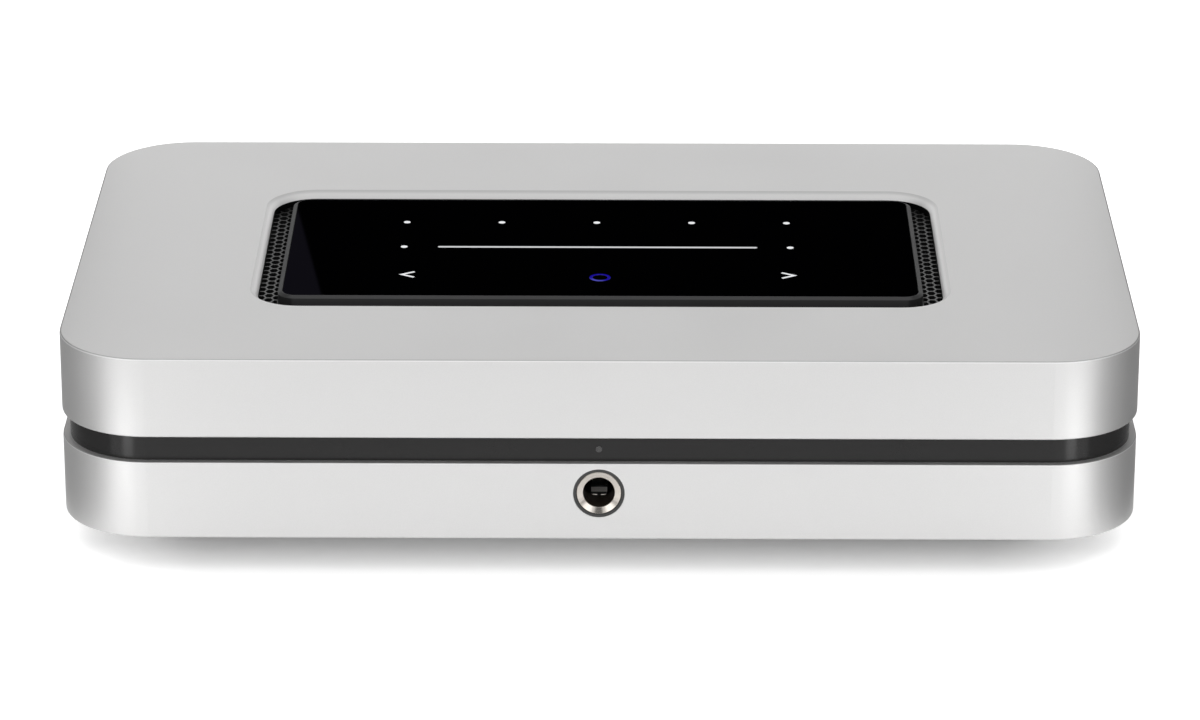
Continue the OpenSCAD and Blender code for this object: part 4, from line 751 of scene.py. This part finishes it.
# Rear sockets: contacts on the tongues of two of them, and the network socket's lamp windows
USB_UNDER, USB_Y = 18.9, 54.0
USB_CONTACT_X = (-3.5, -1.0, 1.0, 3.5)
USB_SIZE, USB_ROUND, USB_THICK = (1.0, 7.0), 0.2, 0.09
HDMI_UNDER, HDMI_OVER, HDMI_Y = 18.1, 19.1, 54.4
HDMI_CONTACTS, HDMI_PITCH = 10, 1.0
HDMI_SIZE, HDMI_ROUND, HDMI_THICK = (0.5, 7.0), 0.12, 0.07
WINDOW_X, WINDOW_Z = 5.4, 17.4
WINDOW_SIZE, WINDOW_ROUND, WINDOW_THICK = (2.6, 1.5), 0.3, 0.12
PLATE_EDGE, PLATE_STEPS = 0.03, 4


def middle_x(node):
    low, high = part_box(node)
    return (low.x + high.x) / 2 / MM


def plate(bm, centre, size, radius, start, end, upright=False):
    """A small flat piece with rounded corners and a broken outer edge, from level start to level end.
    It lies flat, or stands in the plane of the rear when upright."""
    step = math.copysign(PLATE_EDGE, end - start)
    rings = []
    for inset, level in ((0.0, start), (0.0, end - step), (PLATE_EDGE, end)):
        outline = rounded(size[0] - 2 * inset, size[1] - 2 * inset, radius - inset, PLATE_STEPS, centre)
        rings.append([(u, level, v) if upright else (u, v, level) for u, v in outline])
    loft(bm, rings)


def usb_contacts(bm):
    for x in USB_CONTACT_X:
        centre = (middle_x("usb_socket") + x, USB_Y)
        plate(bm, centre, USB_SIZE, USB_ROUND, USB_UNDER, USB_UNDER - USB_THICK)


def hdmi_contacts(bm):
    """A row over the tongue, and one contact fewer under it, between those."""
    for i in range(HDMI_CONTACTS):
        x = middle_x("hdmi_socket") + (i - (HDMI_CONTACTS - 1) / 2) * HDMI_PITCH
        plate(bm, (x, HDMI_Y), HDMI_SIZE, HDMI_ROUND, HDMI_OVER, HDMI_OVER + HDMI_THICK)
        if i:
            gap = (x - HDMI_PITCH / 2, HDMI_Y)
            plate(bm, gap, HDMI_SIZE, HDMI_ROUND, HDMI_UNDER, HDMI_UNDER - HDMI_THICK)


def lan_window(side):
    """Builds the window at the left, for -1, or at the right of the network socket's face."""
    def build(bm):
        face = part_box("lan_socket")[1].y / MM
        spot = (middle_x("lan_socket") + side * WINDOW_X, WINDOW_Z)
        plate(bm, spot, WINDOW_SIZE, WINDOW_ROUND, face, face + WINDOW_THICK, upright=True)
    return build


def make_rear():
    piece("usb_contacts", usb_contacts, "contact_gold")
    piece("hdmi_contacts", hdmi_contacts, "contact_gold")
    piece("lan_window_left", lan_window(-1), "window_green")
    piece("lan_window_right", lan_window(1), "window_amber")


# Bright tips on the two prongs of the headphone socket's front spring, small plates turned outwards and up
TIP_X, TIP_Y, TIP_Z = 1.24, -66.25, 14.27
TIP_LONG, TIP_HIGH, TIP_ROUND, TIP_THICK, TIP_EDGE = 1.76, 0.18, 0.08, 0.12, 0.02
TIP_TURN, TIP_RISE, TIP_STEPS = 6, 18, 4


def tips(bm):
    rise = math.radians(TIP_RISE)
    for side in (-1, 1):
        turn = side * math.radians(TIP_TURN)
        out = Vector((math.sin(turn) * math.cos(rise), -math.cos(turn) * math.cos(rise), math.sin(rise)))
        along = Vector((math.cos(turn), math.sin(turn), 0.0))
        up = along.cross(-out)
        centre = Vector((side * TIP_X, TIP_Y, TIP_Z))
        rings = []
        for inset, depth in ((0.0, TIP_THICK), (0.0, TIP_EDGE), (TIP_EDGE, 0.0)):
            outline = rounded(TIP_LONG - 2 * inset, TIP_HIGH - 2 * inset, TIP_ROUND - inset, TIP_STEPS)
            rings.append([centre + along * a + up * b - out * depth for a, b in outline])
        loft(bm, rings)


def make_tips():
    piece("sleeve_contact_tips", tips, "nickel", "sleeve_contact")


make_camera()
make_world()
make_floor()
make_cards()
make_case_materials()
make_panel_materials()
make_socket_materials()
make_inner_materials()
dress_nodes()
make_panel()
make_tips()
make_rear()
